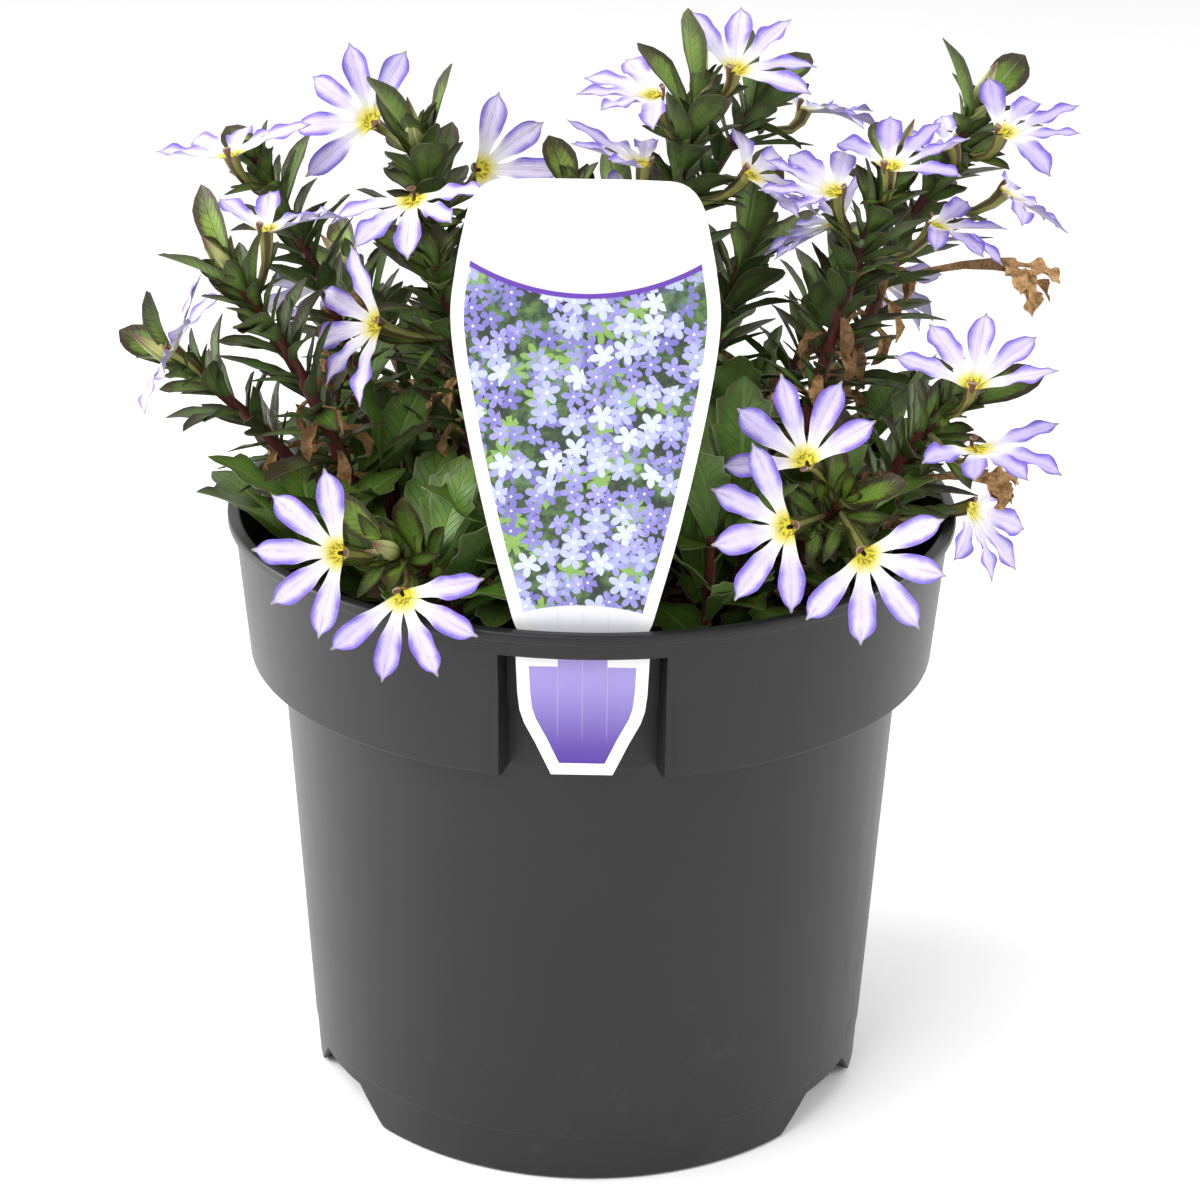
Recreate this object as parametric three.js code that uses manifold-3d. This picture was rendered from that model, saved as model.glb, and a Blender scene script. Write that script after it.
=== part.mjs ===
// A potted fan flower: a nursery pot with its soil, a push-in label, and a spreading plant
// of leafy stems, basal leaf rosettes and one-sided fan-shaped blooms.
// Millimetres, +Z up. The origin is on the ground at the pot's axis, and -Y is the front,
// where the label hangs.
import * as THREE from "three";
import { mergeVertices } from "three/addons/utils/BufferGeometryUtils.js";
import Module from "manifold-3d";

const wasm = await Module();
wasm.setup();

// Driving dimensions of the pot
const WALL = 1.2;
const POT_HEIGHT = 118.5;
const FOOT_RADIUS = 55.6;
const FOOT_WIDTH = 2.2;
const FLOOR_UNDERSIDE = 8.3;
const COLLAR_BOTTOM = 89.5;
const BODY_TOP_RADIUS = 60.5;
const COLLAR_BOTTOM_RADIUS = 66.5;
const COLLAR_TOP_RADIUS = 68.7;
const LIP_BOTTOM = 116.4;
const LIP_RADIUS = 70;
const POT_SIDES = 32;
const NOTCH_AZIMUTHS = [-30, 90, 210];
const NOTCH_FOOT_WIDTH = 32;
const NOTCH_TOP_WIDTH = 15.5;
const NOTCH_HEIGHT = 7;

// The pocket for the label, set in the collar's front
const WINDOW_HALF_ANGLE = 12.4;
const WINDOW_TOP = 113.6;
const POCKET_ROOF = 1.6;
const POCKET_BACK_BOTTOM = 61;
const POCKET_BACK_TOP = 63;

// The label
const LABEL_FRONT = -65.8;
const LABEL_THICKNESS = 0.8;
const LABEL_TOP = 196.8;
const NECK_HALF_WIDTH = 4.3;
const GAP = 0.3;

// The soil and the plant
const SOIL_TOP = 97;
const SOIL_RADIUS = 65;
const SOIL_SIDES = 24;
const STEM_DEPTH = 9;
const STEM_SIDES = 5;
const STEM_ROOT_RADIUS = 1.7;
const STEM_TIP_RADIUS = 0.9;
const BLADE_THICKNESS = 0.9;
const LEAF_SPACING = 5;
const PETAL_LENGTH = 15;
const PETAL_WIDTH = 4.6;
const PETAL_LIFT = 17;
const ROOM = 2.4;
const LEAST_ROOM = 1.5;

// Leafy stems: where each comes out of the soil, where it ends, and the size of its leaves.
const STEMS = [
  { name: "a", root: [-38, -4], tip: [-78, -14, 150], size: 0.95, buds: 1 },
  { name: "b", root: [-36, -14], tip: [-65, -23, 169], size: 1, buds: 1 },
  { name: "c", root: [-34, 4], tip: [-64, 6, 183], size: 1, buds: 0 },
  { name: "d", root: [-22, 4], tip: [-33, 3, 187], size: 1.15, buds: 1 },
  { name: "e", root: [-18, -10], tip: [-29, -15, 170], size: 1, buds: 0 },
  { name: "f", root: [6, -2], tip: [19, 1, 198], size: 1.05, buds: 1 },
  { name: "h", root: [34, -6], tip: [55, -5, 185], size: 1, buds: 1 },
  { name: "i", root: [38, 12], tip: [73, 24, 191], size: 1.1, buds: 1 },
  { name: "j", root: [42, -14], tip: [65, -26, 147], size: 1.1, buds: 0 },
  { name: "k", root: [30, -24], tip: [45, -48, 136], size: 0.9, buds: 0 },
  { name: "l", root: [-12, -24], tip: [-34, -53, 127], size: 0.9, buds: 1 },
  { name: "m", root: [14, 20], tip: [30, 28, 162], size: 1.25, buds: 0 },
  { name: "r", root: [-6, -6], tip: [-3, -9, 181], size: 0.9, buds: 0 },
  { name: "n", root: [-28, 26], tip: [-50, 46, 150], size: 1.1, buds: 1 },
  { name: "o", root: [0, 34], tip: [4, 58, 157], size: 1.1, buds: 1 },
  { name: "p", root: [30, 30], tip: [50, 52, 152], size: 1.1, buds: 0 },
];
// The side branch that leaves stem f part of the way up.
const BRANCH = { name: "g", from: "f", at: 0.66, tip: [31, 11, 195], size: 1.1 };

// Rosettes of large toothed leaves at soil level.
const ROSETTES = [
  [-30, -27],
  [-50, -12],
  [-22, -44],
  [18, -34],
  [40, -31],
  [52, 6],
  [-31, 42],
  [30, 44],
];

// Blooms: the stem that carries each, its throat, the way that it faces,
// and the way that the middle petal of its fan points.
const BLOOMS = [
  { on: "a", throat: [-77, -17, 152], faces: [-0.8, -0.1, 0.6], fan: [0.4, -0.8, 0.5] },
  { on: "c", throat: [-67, -3, 185], faces: [-0.3, 0, 1], fan: [0.1, 1, 0] },
  { on: "b", throat: [-59, -18, 175], faces: [-0.1, 0, 1], fan: [0.6, 0.8, 0] },
  { on: "d", throat: [-42, 9, 189], faces: [-0.2, -0.9, 0.4], fan: [-0.8, 0, 0.6] },
  { on: "d", throat: [-22, 10, 180], faces: [0.1, -0.8, 0.5], fan: [1, 0, 0] },
  { on: "d", throat: [-33, -9, 179], faces: [-0.2, -0.5, 0.8], fan: [0, -0.8, -0.5] },
  { on: "e", throat: [-39, -19, 158], faces: [-0.5, -0.6, 0.5], fan: [-0.7, 0.2, -0.2] },
  { on: "f", throat: [11, -6, 198], faces: [-0.1, -0.2, 1], fan: [-0.9, -0.2, 0.2] },
  { on: "f", throat: [25, -3, 202], faces: [0, -0.4, 0.9], fan: [0.7, 0.6, 0.4] },
  { on: "f", throat: [9, -9, 186], faces: [0.2, -0.1, 1], fan: [-0.9, 0.2, 0.2] },
  { on: "f", throat: [28, -7, 184], faces: [0.5, -0.2, 0.8], fan: [0.8, 0.2, 0.2] },
  { on: "g", throat: [39, 16, 191], faces: [0.2, 0.2, 1], fan: [0.8, 0.5, 0] },
  { on: "r", throat: [2, -14, 178], faces: [0.4, -0.2, 0.9], fan: [0.9, 0, 0.2] },
  { on: "h", throat: [53, -13, 187], faces: [-0.1, -0.2, 1], fan: [0.7, 0.7, 0.2] },
  { on: "h", throat: [44, -12, 182], faces: [0, -0.3, 1], fan: [-0.9, 0.3, 0.1] },
  { on: "h", throat: [45, -1, 174], faces: [-0.6, 0, 0.8], fan: [-0.7, 0.3, 0.5] },
  { on: "h", throat: [63, 1, 173], faces: [0.4, 0, 0.9], fan: [0.9, -0.2, 0.1] },
  { on: "i", throat: [67, 14, 185], faces: [-0.4, 0.1, 0.9], fan: [-0.8, 0.2, 0.3] },
  { on: "i", throat: [76, 12, 188], faces: [0.1, -0.3, 1], fan: [0.9, 0.3, 0.2] },
  { on: "i", throat: [78, 19, 175], faces: [0.6, 0, 0.8], fan: [0.8, 0, -0.2] },
  { on: "j", throat: [68, -34, 153], faces: [0, -0.4, 0.9], fan: [0.2, 0.9, 0.4] },
  { on: "j", throat: [69, -36, 142], faces: [0.1, -0.2, 1], fan: [0.5, -0.8, -0.2] },
  { on: "j", throat: [72, -9, 121], faces: [0.8, -0.4, 0.4], fan: [0.6, -0.1, -0.6] },
  { on: "k", throat: [38, -51, 144], faces: [-0.4, -0.8, 0.3], fan: [-0.3, 0.3, 0.9] },
  { on: "k", throat: [35, -59, 135], faces: [0.1, -0.9, 0.4], fan: [-1, -0.2, -0.2] },
  { on: "k", throat: [48, -61, 131], faces: [-0.1, -0.9, 0.3], fan: [0.6, -0.4, -0.7] },
  { on: "l", throat: [-42, -62, 130], faces: [0.1, -0.9, 0.4], fan: [-1, -0.2, 0.1] },
  { on: "l", throat: [-31, -66, 124], faces: [-0.2, -0.9, 0.2], fan: [0.4, -0.4, -0.8] },
  { on: "n", throat: [-56, 50, 146], faces: [-0.4, 0.7, 0.5], fan: [-0.5, 0.3, -0.6] },
  { on: "o", throat: [6, 64, 150], faces: [0.1, 0.9, 0.4], fan: [0.7, 0, -0.7] },
  { on: "p", throat: [58, 55, 148], faces: [0.6, 0.6, 0.5], fan: [0.5, 0.2, -0.6] },
];

// Blooms gone by: the stem and the height along it, the tip, and the dried petals' length.
const SPENT = [
  { on: "i", at: 0.62, tip: [78, -1, 166], length: 11 },
  { on: "j", at: 0.62, tip: [73, -23, 132], length: 8 },
];

const UP = new THREE.Vector3(0, 0, 1);
const RADIANS = Math.PI / 180;
const GOLDEN_ANGLE = 137.508 * RADIANS;

const vec = (list) => new THREE.Vector3(...list);
const mix = (a, b, t) => a + (b - a) * t;
const clamp = (value, low, high) => Math.min(Math.max(value, low), high);

// A repeatable draw from 0 to 1 for one choice on one leaf of one stem.
function chance(stem, leaf, choice) {
  const wave = Math.sin(12.9898 * stem + 78.233 * leaf + 37.719 * choice) * 43758.5453;
  return wave - Math.floor(wave);
}

// A solid for cutting and joining, from a closed three.js geometry.
function toSolid(geometry) {
  const bare = new THREE.BufferGeometry();
  bare.setAttribute("position", geometry.getAttribute("position").clone());
  if (geometry.index) bare.setIndex(geometry.index.clone());
  const merged = mergeVertices(bare, 1e-4);
  const corners = new Uint32Array(merged.index.array);
  const build = () =>
    new wasm.Manifold(
      new wasm.Mesh({
        numProp: 3,
        vertProperties: new Float32Array(merged.attributes.position.array),
        triVerts: corners,
      }),
    );
  const solid = build();
  if (solid.volume() > 0) return solid;
  for (let i = 0; i < corners.length; i += 3) {
    [corners[i], corners[i + 1]] = [corners[i + 1], corners[i]];
  }
  return build();
}

function toGeometry(solid) {
  const mesh = solid.getMesh();
  const geometry = new THREE.BufferGeometry();
  geometry.setAttribute("position", new THREE.BufferAttribute(mesh.vertProperties, 3));
  geometry.setIndex(new THREE.BufferAttribute(mesh.triVerts, 1));
  geometry.computeVertexNormals();
  return geometry;
}

const joined = (solids) => wasm.Manifold.union(solids);

// The largest body of a solid. What a cut leaves loose is dropped.
function mainBody(solid) {
  return solid.decompose().reduce((best, body) => (body.volume() > best.volume() ? body : best));
}

// A solid of revolution about Z from a list of [radius, height].
function turned(profile, sides) {
  const points = profile.map(([radius, height]) => new THREE.Vector2(radius, height));
  return toSolid(new THREE.LatheGeometry(points, sides).rotateX(Math.PI / 2));
}

// A block between two radii and two heights, centred on the front.
function sector(inner, outer, halfAngle, bottom, top) {
  const shape = new THREE.Shape();
  const start = (-90 - halfAngle) * RADIANS;
  const end = (-90 + halfAngle) * RADIANS;
  shape.absarc(0, 0, outer, start, end, false);
  shape.absarc(0, 0, inner, end, start, true);
  const settings = { depth: top - bottom, bevelEnabled: false, curveSegments: 6 };
  return toSolid(new THREE.ExtrudeGeometry(shape, settings).translate(0, 0, bottom));
}

function box(x0, x1, y0, y1, z0, z1) {
  const geometry = new THREE.BoxGeometry(x1 - x0, y1 - y0, z1 - z0);
  return toSolid(geometry.translate((x0 + x1) / 2, (y0 + y1) / 2, (z0 + z1) / 2));
}

// The pot: a tapered body with a wider collar, a rolled lip, a raised floor,
// three foot notches with drain holes, and the label's pocket.
function potSolid() {
  const lipMiddle = (LIP_BOTTOM + POT_HEIGHT) / 2;
  const ledge = COLLAR_BOTTOM + WALL;
  const shell = turned(
    [
      [0, FLOOR_UNDERSIDE],
      [FOOT_RADIUS - FOOT_WIDTH + 0.4, FLOOR_UNDERSIDE],
      [FOOT_RADIUS - FOOT_WIDTH, 0],
      [FOOT_RADIUS, 0],
      [BODY_TOP_RADIUS, COLLAR_BOTTOM],
      [COLLAR_BOTTOM_RADIUS, COLLAR_BOTTOM],
      [COLLAR_TOP_RADIUS, LIP_BOTTOM],
      [LIP_RADIUS - 0.3, LIP_BOTTOM + 0.2],
      [LIP_RADIUS, lipMiddle],
      [LIP_RADIUS - 0.3, POT_HEIGHT - 0.4],
      [LIP_RADIUS - 1.1, POT_HEIGHT],
      [COLLAR_TOP_RADIUS - WALL + 0.3, POT_HEIGHT - 0.4],
      [COLLAR_TOP_RADIUS - WALL, LIP_BOTTOM],
      [COLLAR_BOTTOM_RADIUS - WALL, ledge],
      [BODY_TOP_RADIUS - WALL, ledge],
      [FOOT_RADIUS - WALL + 0.5, FLOOR_UNDERSIDE + WALL],
      [0, FLOOR_UNDERSIDE + WALL],
    ],
    POT_SIDES,
  );
  const inner = BODY_TOP_RADIUS - WALL;
  const pocketTop = WINDOW_TOP + POCKET_ROOF;
  const block = sector(inner, COLLAR_BOTTOM_RADIUS, WINDOW_HALF_ANGLE + 1.2, COLLAR_BOTTOM, ledge);
  const upper = sector(inner + 1, COLLAR_TOP_RADIUS - 0.7, WINDOW_HALF_ANGLE + 1.2, ledge - 0.5, pocketTop);
  let pot = shell.add(block).add(upper);
  const backs = [
    [POCKET_BACK_BOTTOM, COLLAR_BOTTOM - 1, (COLLAR_BOTTOM + WINDOW_TOP) / 2],
    [POCKET_BACK_TOP - 0.8, (COLLAR_BOTTOM + WINDOW_TOP) / 2 - 0.1, WINDOW_TOP],
  ];
  for (const [back, bottom, top] of backs) {
    pot = pot.subtract(sector(back, LIP_RADIUS + 5, WINDOW_HALF_ANGLE, bottom, top));
  }
  const slotSide = NECK_HALF_WIDTH + 0.5;
  const slotFront = LABEL_FRONT - GAP;
  const slotBack = LABEL_FRONT + LABEL_THICKNESS + GAP;
  pot = pot.subtract(box(-slotSide, slotSide, slotFront, slotBack, WINDOW_TOP - 1, pocketTop + 1));
  for (const azimuth of NOTCH_AZIMUTHS) {
    const notch = new THREE.Shape([
      new THREE.Vector2(-NOTCH_FOOT_WIDTH / 2, -1),
      new THREE.Vector2(NOTCH_FOOT_WIDTH / 2, -1),
      new THREE.Vector2(NOTCH_TOP_WIDTH / 2, NOTCH_HEIGHT),
      new THREE.Vector2(-NOTCH_TOP_WIDTH / 2, NOTCH_HEIGHT),
    ]);
    const cut = new THREE.ExtrudeGeometry(notch, { depth: 20, bevelEnabled: false });
    cut.rotateX(Math.PI / 2);
    cut.translate(0, -FOOT_RADIUS + 12, 0);
    cut.rotateZ((azimuth + 90) * RADIANS);
    const drain = new THREE.BoxGeometry(NOTCH_TOP_WIDTH, 8, 6);
    drain.translate(0, -FOOT_RADIUS + 8, FLOOR_UNDERSIDE + WALL / 2);
    drain.rotateZ((azimuth + 90) * RADIANS);
    pot = pot.subtract(toSolid(cut)).subtract(toSolid(drain));
  }
  return mainBody(pot);
}

// Half the label's width at a height, and its whole outline.
const LABEL_SIDE = [
  [12.2, 120.2],
  [16.3, 136.7],
  [20.2, 156.5],
  [22.2, 172],
  [21.4, 181.5],
  [19.6, 190.5],
];
const TAB_SIDE = [
  [11.6, WINDOW_TOP - GAP],
  [10.9, 102.8],
  [8.2, 96.6],
  [5.4, 90.5],
];

function labelSolid() {
  const bottom = WINDOW_TOP + POCKET_ROOF + GAP;
  const shape = new THREE.Shape();
  const points = (list, side) => list.map(([x, z]) => new THREE.Vector2(side * x, z));
  shape.moveTo(NECK_HALF_WIDTH, TAB_SIDE[0][1]);
  shape.lineTo(NECK_HALF_WIDTH, bottom);
  shape.lineTo(7.5, bottom);
  shape.quadraticCurveTo(11, bottom, ...LABEL_SIDE[0]);
  shape.splineThru(points(LABEL_SIDE.slice(1), 1));
  shape.quadraticCurveTo(18.2, LABEL_TOP - 0.4, 13.5, LABEL_TOP - 0.2);
  shape.quadraticCurveTo(0, LABEL_TOP + 0.2, -13.5, LABEL_TOP - 0.2);
  shape.quadraticCurveTo(-18.2, LABEL_TOP - 0.4, -LABEL_SIDE.at(-1)[0], LABEL_SIDE.at(-1)[1]);
  shape.splineThru(points(LABEL_SIDE.slice(0, -1).reverse(), -1));
  shape.quadraticCurveTo(-11, bottom, -7.5, bottom);
  shape.lineTo(-NECK_HALF_WIDTH, bottom);
  shape.lineTo(-NECK_HALF_WIDTH, TAB_SIDE[0][1]);
  for (const [x, z] of TAB_SIDE) shape.lineTo(-x, z);
  for (const [x, z] of [...TAB_SIDE].reverse()) shape.lineTo(x, z);
  const settings = { depth: LABEL_THICKNESS, bevelEnabled: false, curveSegments: 3 };
  const geometry = new THREE.ExtrudeGeometry(shape, settings);
  geometry.rotateX(Math.PI / 2);
  geometry.translate(0, LABEL_FRONT + LABEL_THICKNESS, 0);
  return toSolid(geometry);
}

// The uneven top of the soil.
function soilRelief(x, y) {
  return 0.9 * Math.sin(0.21 * x + 1) * Math.cos(0.19 * y) + 0.6 * Math.sin(0.47 * x - 0.39 * y);
}

// The soil follows the inside of the pot and spills into the collar.
function soilSolid(stems) {
  const floor = FLOOR_UNDERSIDE + WALL + GAP;
  const ledge = COLLAR_BOTTOM + WALL + GAP;
  const profile = [
    [0, floor],
    [FOOT_RADIUS - WALL - 0.3, floor],
    [BODY_TOP_RADIUS - WALL - 0.6, ledge],
    [SOIL_RADIUS - 0.5, ledge],
    [SOIL_RADIUS, SOIL_TOP - 2],
    [52, SOIL_TOP],
    [27, SOIL_TOP + 0.8],
    [0, SOIL_TOP + 1],
  ];
  const points = profile.map(([radius, height]) => new THREE.Vector2(radius, height));
  const geometry = new THREE.LatheGeometry(points, SOIL_SIDES).rotateX(Math.PI / 2);
  const position = geometry.getAttribute("position");
  for (let i = 0; i < position.count; i += 1) {
    const [x, y, z] = [position.getX(i), position.getY(i), position.getZ(i)];
    if (z > SOIL_TOP - 1) position.setZ(i, z + soilRelief(x, y));
  }
  let soil = toSolid(geometry);
  const inside = BODY_TOP_RADIUS - WALL - 1;
  soil = soil.subtract(sector(inside, LIP_RADIUS, WINDOW_HALF_ANGLE + 2.2, ledge - 2, SOIL_TOP + 8));
  for (const stem of stems) {
    const radius = STEM_ROOT_RADIUS + 1.5 * GAP;
    let above = 0.1;
    while (stem.curve.at(above).z < SOIL_TOP + 4) above += 0.02;
    soil = soil.subtract(tube(stem.curve, -0.02, above, radius, radius, 1, STEM_SIDES));
  }
  return mainBody(soil);
}

// A stem's centre line leaves the soil steeply and leans over towards its tip.
function stemCurve(root, tip) {
  const start = new THREE.Vector3(root[0], root[1], SOIL_TOP - STEM_DEPTH);
  const end = vec(tip);
  const middle = new THREE.Vector3(
    mix(start.x, end.x, 0.25),
    mix(start.y, end.y, 0.25),
    mix(start.z, end.z, 0.6),
  );
  return bentLine(start, middle, end);
}

// A quadratic curve with its tangent, and a frame that doesn't twist along it.
function bentLine(start, middle, end) {
  const across = middle.clone().sub(start).cross(end.clone().sub(middle));
  if (across.length() < 1e-6) across.copy(end).sub(start).cross(new THREE.Vector3(0.3, 1, 0.2));
  across.normalize();
  const at = (t) =>
    start
      .clone()
      .multiplyScalar((1 - t) * (1 - t))
      .addScaledVector(middle, 2 * t * (1 - t))
      .addScaledVector(end, t * t);
  const tangent = (t) =>
    middle
      .clone()
      .sub(start)
      .multiplyScalar(1 - t)
      .addScaledVector(end.clone().sub(middle), t)
      .normalize();
  let length = 0;
  for (let i = 0; i < 20; i += 1) length += at(i / 20).distanceTo(at((i + 1) / 20));
  return { at, tangent, across, length };
}

// A round tube along a stretch of a curve, from one radius to another.
function tube(curve, from, to, startRadius, endRadius, spans, sides) {
  const geometry = new THREE.CylinderGeometry(1, 1, 1, sides, spans);
  const position = geometry.getAttribute("position");
  for (let i = 0; i < position.count; i += 1) {
    const share = position.getY(i) + 0.5;
    const t = mix(from, to, share);
    const radius = mix(startRadius, endRadius, share);
    const axis = curve.tangent(t);
    const depth = curve.across.clone().cross(axis);
    const point = curve.at(t);
    point.addScaledVector(curve.across, position.getX(i) * radius);
    point.addScaledVector(depth, position.getZ(i) * radius);
    position.setXYZ(i, point.x, point.y, point.z);
  }
  return toSolid(geometry);
}

// The outlines of the blades: [share of the length, share of the half width].
const NARROW = { side: [[0.36, 0.72], [0.7, 1]], rib: [0.52] };
const SLIM = { side: [[0.5, 1]], rib: [0.5] };
const TOOTHED = {
  side: [[0.14, 0.24], [0.4, 0.72], [0.6, 1], [0.64, 0.8], [0.79, 0.84], [0.83, 0.56]],
  rib: [0.3, 0.7],
};
const PETAL = { side: [[0.42, 0.68], [0.74, 1]], rib: [0.58] };

// A blade: where it starts, the way it grows, the way its face looks, and its sizes.
// The midrib is an arc that bends away from the face, and the sides fold up from it.
function makeBlade(base, along, face, length, halfWidth, bend, fold, outline) {
  const way = along.clone().normalize();
  const look = face.clone().addScaledVector(way, -face.dot(way)).normalize();
  return { base, way, look, across: way.clone().cross(look), length, halfWidth, bend, fold, outline };
}

// A point of a blade, its share s along the midrib and its distance to one side.
function bladePoint(blade, s, sideways, lift) {
  const turn = blade.bend * s;
  const reach = blade.bend === 0 ? blade.length * s : (blade.length / blade.bend) * Math.sin(turn);
  const drop = blade.bend === 0 ? 0 : (blade.length / blade.bend) * (1 - Math.cos(turn));
  const rise = Math.abs(sideways) * Math.sin(blade.fold) + lift;
  return blade.base
    .clone()
    .addScaledVector(blade.way, reach + rise * Math.sin(turn))
    .addScaledVector(blade.look, rise * Math.cos(turn) - drop)
    .addScaledVector(blade.across, sideways * Math.cos(blade.fold));
}

// The two edge lines between base and tip are joined by triangles, alike on both faces.
function zip(edge, rib, reversed, triangles) {
  let i = 0;
  let j = 0;
  while (i < edge.length - 1 || j < rib.length - 1) {
    const nextEdge = i < edge.length - 1 ? edge[i + 1].s : 2;
    const nextRib = j < rib.length - 1 ? rib[j + 1].s : 2;
    const corner = nextEdge <= nextRib ? edge[i + 1] : rib[j + 1];
    const corners = [edge[i].index, corner.index, rib[j].index];
    if (new Set(corners).size === 3) triangles.push(...(reversed ? corners.reverse() : corners));
    if (nextEdge <= nextRib) i += 1;
    else j += 1;
  }
}

// A blade as a closed solid. The grown one is a little larger all round, for clearances.
function bladeSolid(blade, grown = 0) {
  const points = [];
  const triangles = [];
  const add = (s, point) => {
    points.push(point.x, point.y, point.z);
    return { s, index: points.length / 3 - 1 };
  };
  const half = blade.halfWidth + 1.5 * grown;
  const thick = BLADE_THICKNESS / 2 + grown;
  const start = add(0, bladePoint(blade, -grown / blade.length, 0, 0));
  const end = add(1, bladePoint(blade, 1 + (1.6 * grown) / blade.length, 0, 0));
  const edges = [-1, 1].map((side) => [
    start,
    ...blade.outline.side.map(([s, w]) => add(s, bladePoint(blade, s, side * w * half, 0))),
    end,
  ]);
  const ribs = [-1, 1].map((side) => [
    start,
    ...blade.outline.rib.map((s) => add(s, bladePoint(blade, s, 0, side * thick))),
    end,
  ]);
  zip(edges[0], ribs[0], false, triangles);
  zip(edges[0], ribs[1], true, triangles);
  zip(edges[1], ribs[0], true, triangles);
  zip(edges[1], ribs[1], false, triangles);
  const geometry = new THREE.BufferGeometry();
  geometry.setAttribute("position", new THREE.BufferAttribute(new Float32Array(points), 3));
  geometry.setIndex(triangles);
  return toSolid(geometry);
}

// Points spread over a blade, for keeping blades clear of each other.
function bladeCloud(blade) {
  const cloud = [];
  for (const s of [0.3, 0.45, 0.6, 0.75, 0.88]) {
    for (const side of [-0.8, 0, 0.8]) cloud.push(bladePoint(blade, s, side * blade.halfWidth, 0));
  }
  cloud.push(bladePoint(blade, 1, 0, 0));
  return cloud;
}

// Everything that stands so far, as points that each know what they belong to.
const standing = [];

function occupy(owner, cloud) {
  for (const point of cloud) standing.push({ owner, point });
}

// The smallest distance from some points to whatever else stands already.
function clearance(owner, cloud) {
  let least = 100;
  for (const other of standing) {
    if (other.owner === owner) continue;
    for (const point of cloud) least = Math.min(least, point.distanceTo(other.point));
  }
  for (const point of cloud) {
    least = Math.min(least, point.z - SOIL_TOP - 0.8);
    const fromWall = Math.abs(Math.hypot(point.x, point.y) - COLLAR_TOP_RADIUS) - 1.5 * WALL;
    if (point.z < POT_HEIGHT) least = Math.min(least, fromWall);
  }
  return least;
}

// The pot's rim and the label keep leaves away from them.
function occupyPotAndLabel() {
  for (let i = 0; i < 120; i += 1) {
    const angle = i * 3 * RADIANS;
    for (const radius of [COLLAR_TOP_RADIUS - 2, LIP_RADIUS]) {
      const x = radius * Math.cos(angle);
      const y = radius * Math.sin(angle);
      occupy("pot", [new THREE.Vector3(x, y, POT_HEIGHT - 1)]);
    }
  }
  for (let z = 116; z < LABEL_TOP; z += 3) {
    const half = z < 160 ? mix(11, 21, (z - 116) / 44) : 21.5;
    for (let x = -7; x <= 7; x += 1) {
      occupy("label", [new THREE.Vector3((x * half) / 7, LABEL_FRONT + LABEL_THICKNESS / 2, z)]);
    }
  }
}

// Ways to swing a leaf clear of its neighbours: extra pitch and extra turn in degrees.
const SWINGS = [
  [0, 0],
  [-14, 0],
  [14, 0],
  [0, 28],
  [0, -28],
  [-14, 24],
  [14, -24],
  [-26, -20],
  [24, 30],
  [-10, 50],
  [-10, -50],
  [-30, 8],
];

// The first swing of a leaf that stands clear, or else the clearest one.
// A leaf that finds too little room doesn't grow.
function settle(owner, leafAt) {
  let best = null;
  for (const [pitch, turn] of SWINGS) {
    const leaf = leafAt(pitch * RADIANS, turn * RADIANS);
    const cloud = bladeCloud(leaf);
    const room = clearance(owner, cloud);
    if (!best || room > best.room) best = { leaf, cloud, room };
    if (room >= ROOM) break;
  }
  if (best.room < LEAST_ROOM) return [];
  occupy(owner, best.cloud);
  return [best.leaf];
}

// The leaves of one stem go round it by the golden angle, closer together towards the tip.
function leavesOn(owner, number, curve, size, from, radiusAt) {
  const count = Math.round((curve.length * (1 - from)) / LEAF_SPACING);
  const leaves = [];
  for (let k = 0; k < count; k += 1) {
    const height = 1 - Math.pow(1 - (k + 0.5) / count, 1.25);
    const t = mix(from, 1, height);
    const low = k < 3 && number < STEMS.length;
    const along = curve.tangent(t);
    const radius = radiusAt(t);
    const shortest = mix(12.5, 15, Math.min(1, 1.6 * height));
    const length = size * (low ? 20 : shortest + 2.5 * chance(number, k, 1));
    const narrow = !low && height < 0.6;
    const share = low ? 0.2 : narrow ? 0.125 : 0.165;
    const halfWidth = share * length + 0.25 * chance(number, k, 2);
    const pitch = mix(66, 24, Math.pow(height, 1.6)) + 10 * (chance(number, k, 3) - 0.5);
    const bend = mix(0.5, -0.25, height) + 0.3 * (chance(number, k, 4) - 0.5);
    const fold = 0.22 + 0.2 * chance(number, k, 5);
    const outline = low ? TOOTHED : narrow ? SLIM : NARROW;
    const turnedBy = k * GOLDEN_ANGLE + 2.4 * number;
    const leafAt = (extraPitch, extraTurn) => {
      const angle = turnedBy + extraTurn;
      const depth = curve.across.clone().cross(along);
      const out = curve.across.clone().multiplyScalar(Math.cos(angle));
      out.addScaledVector(depth, Math.sin(angle));
      const lean = pitch * RADIANS + extraPitch;
      const way = along.clone().multiplyScalar(Math.cos(lean)).addScaledVector(out, Math.sin(lean));
      const base = curve.at(t).addScaledVector(out, 0.2 * radius);
      return makeBlade(base, way, along, length, halfWidth, bend, fold, outline);
    };
    leaves.push(...settle(owner, leafAt));
  }
  return leaves;
}

// A closed flower bud: a slim spindle on a stem's tip, leaning to one side.
function budSolid(base, way, length, radius) {
  const profile = [
    [0, 0],
    [radius * 0.7, 0.1 * length],
    [radius, 0.38 * length],
    [radius * 0.45, 0.8 * length],
    [0, length],
  ];
  const points = profile.map(([r, h]) => new THREE.Vector2(r, h));
  const geometry = new THREE.LatheGeometry(points, 5);
  const turn = new THREE.Quaternion().setFromUnitVectors(new THREE.Vector3(0, 1, 0), way);
  geometry.applyQuaternion(turn).translate(base.x, base.y, base.z);
  return toSolid(geometry);
}

const stemRadius = (t) => mix(STEM_ROOT_RADIUS, STEM_TIP_RADIUS, clamp(t, 0, 1));

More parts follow.
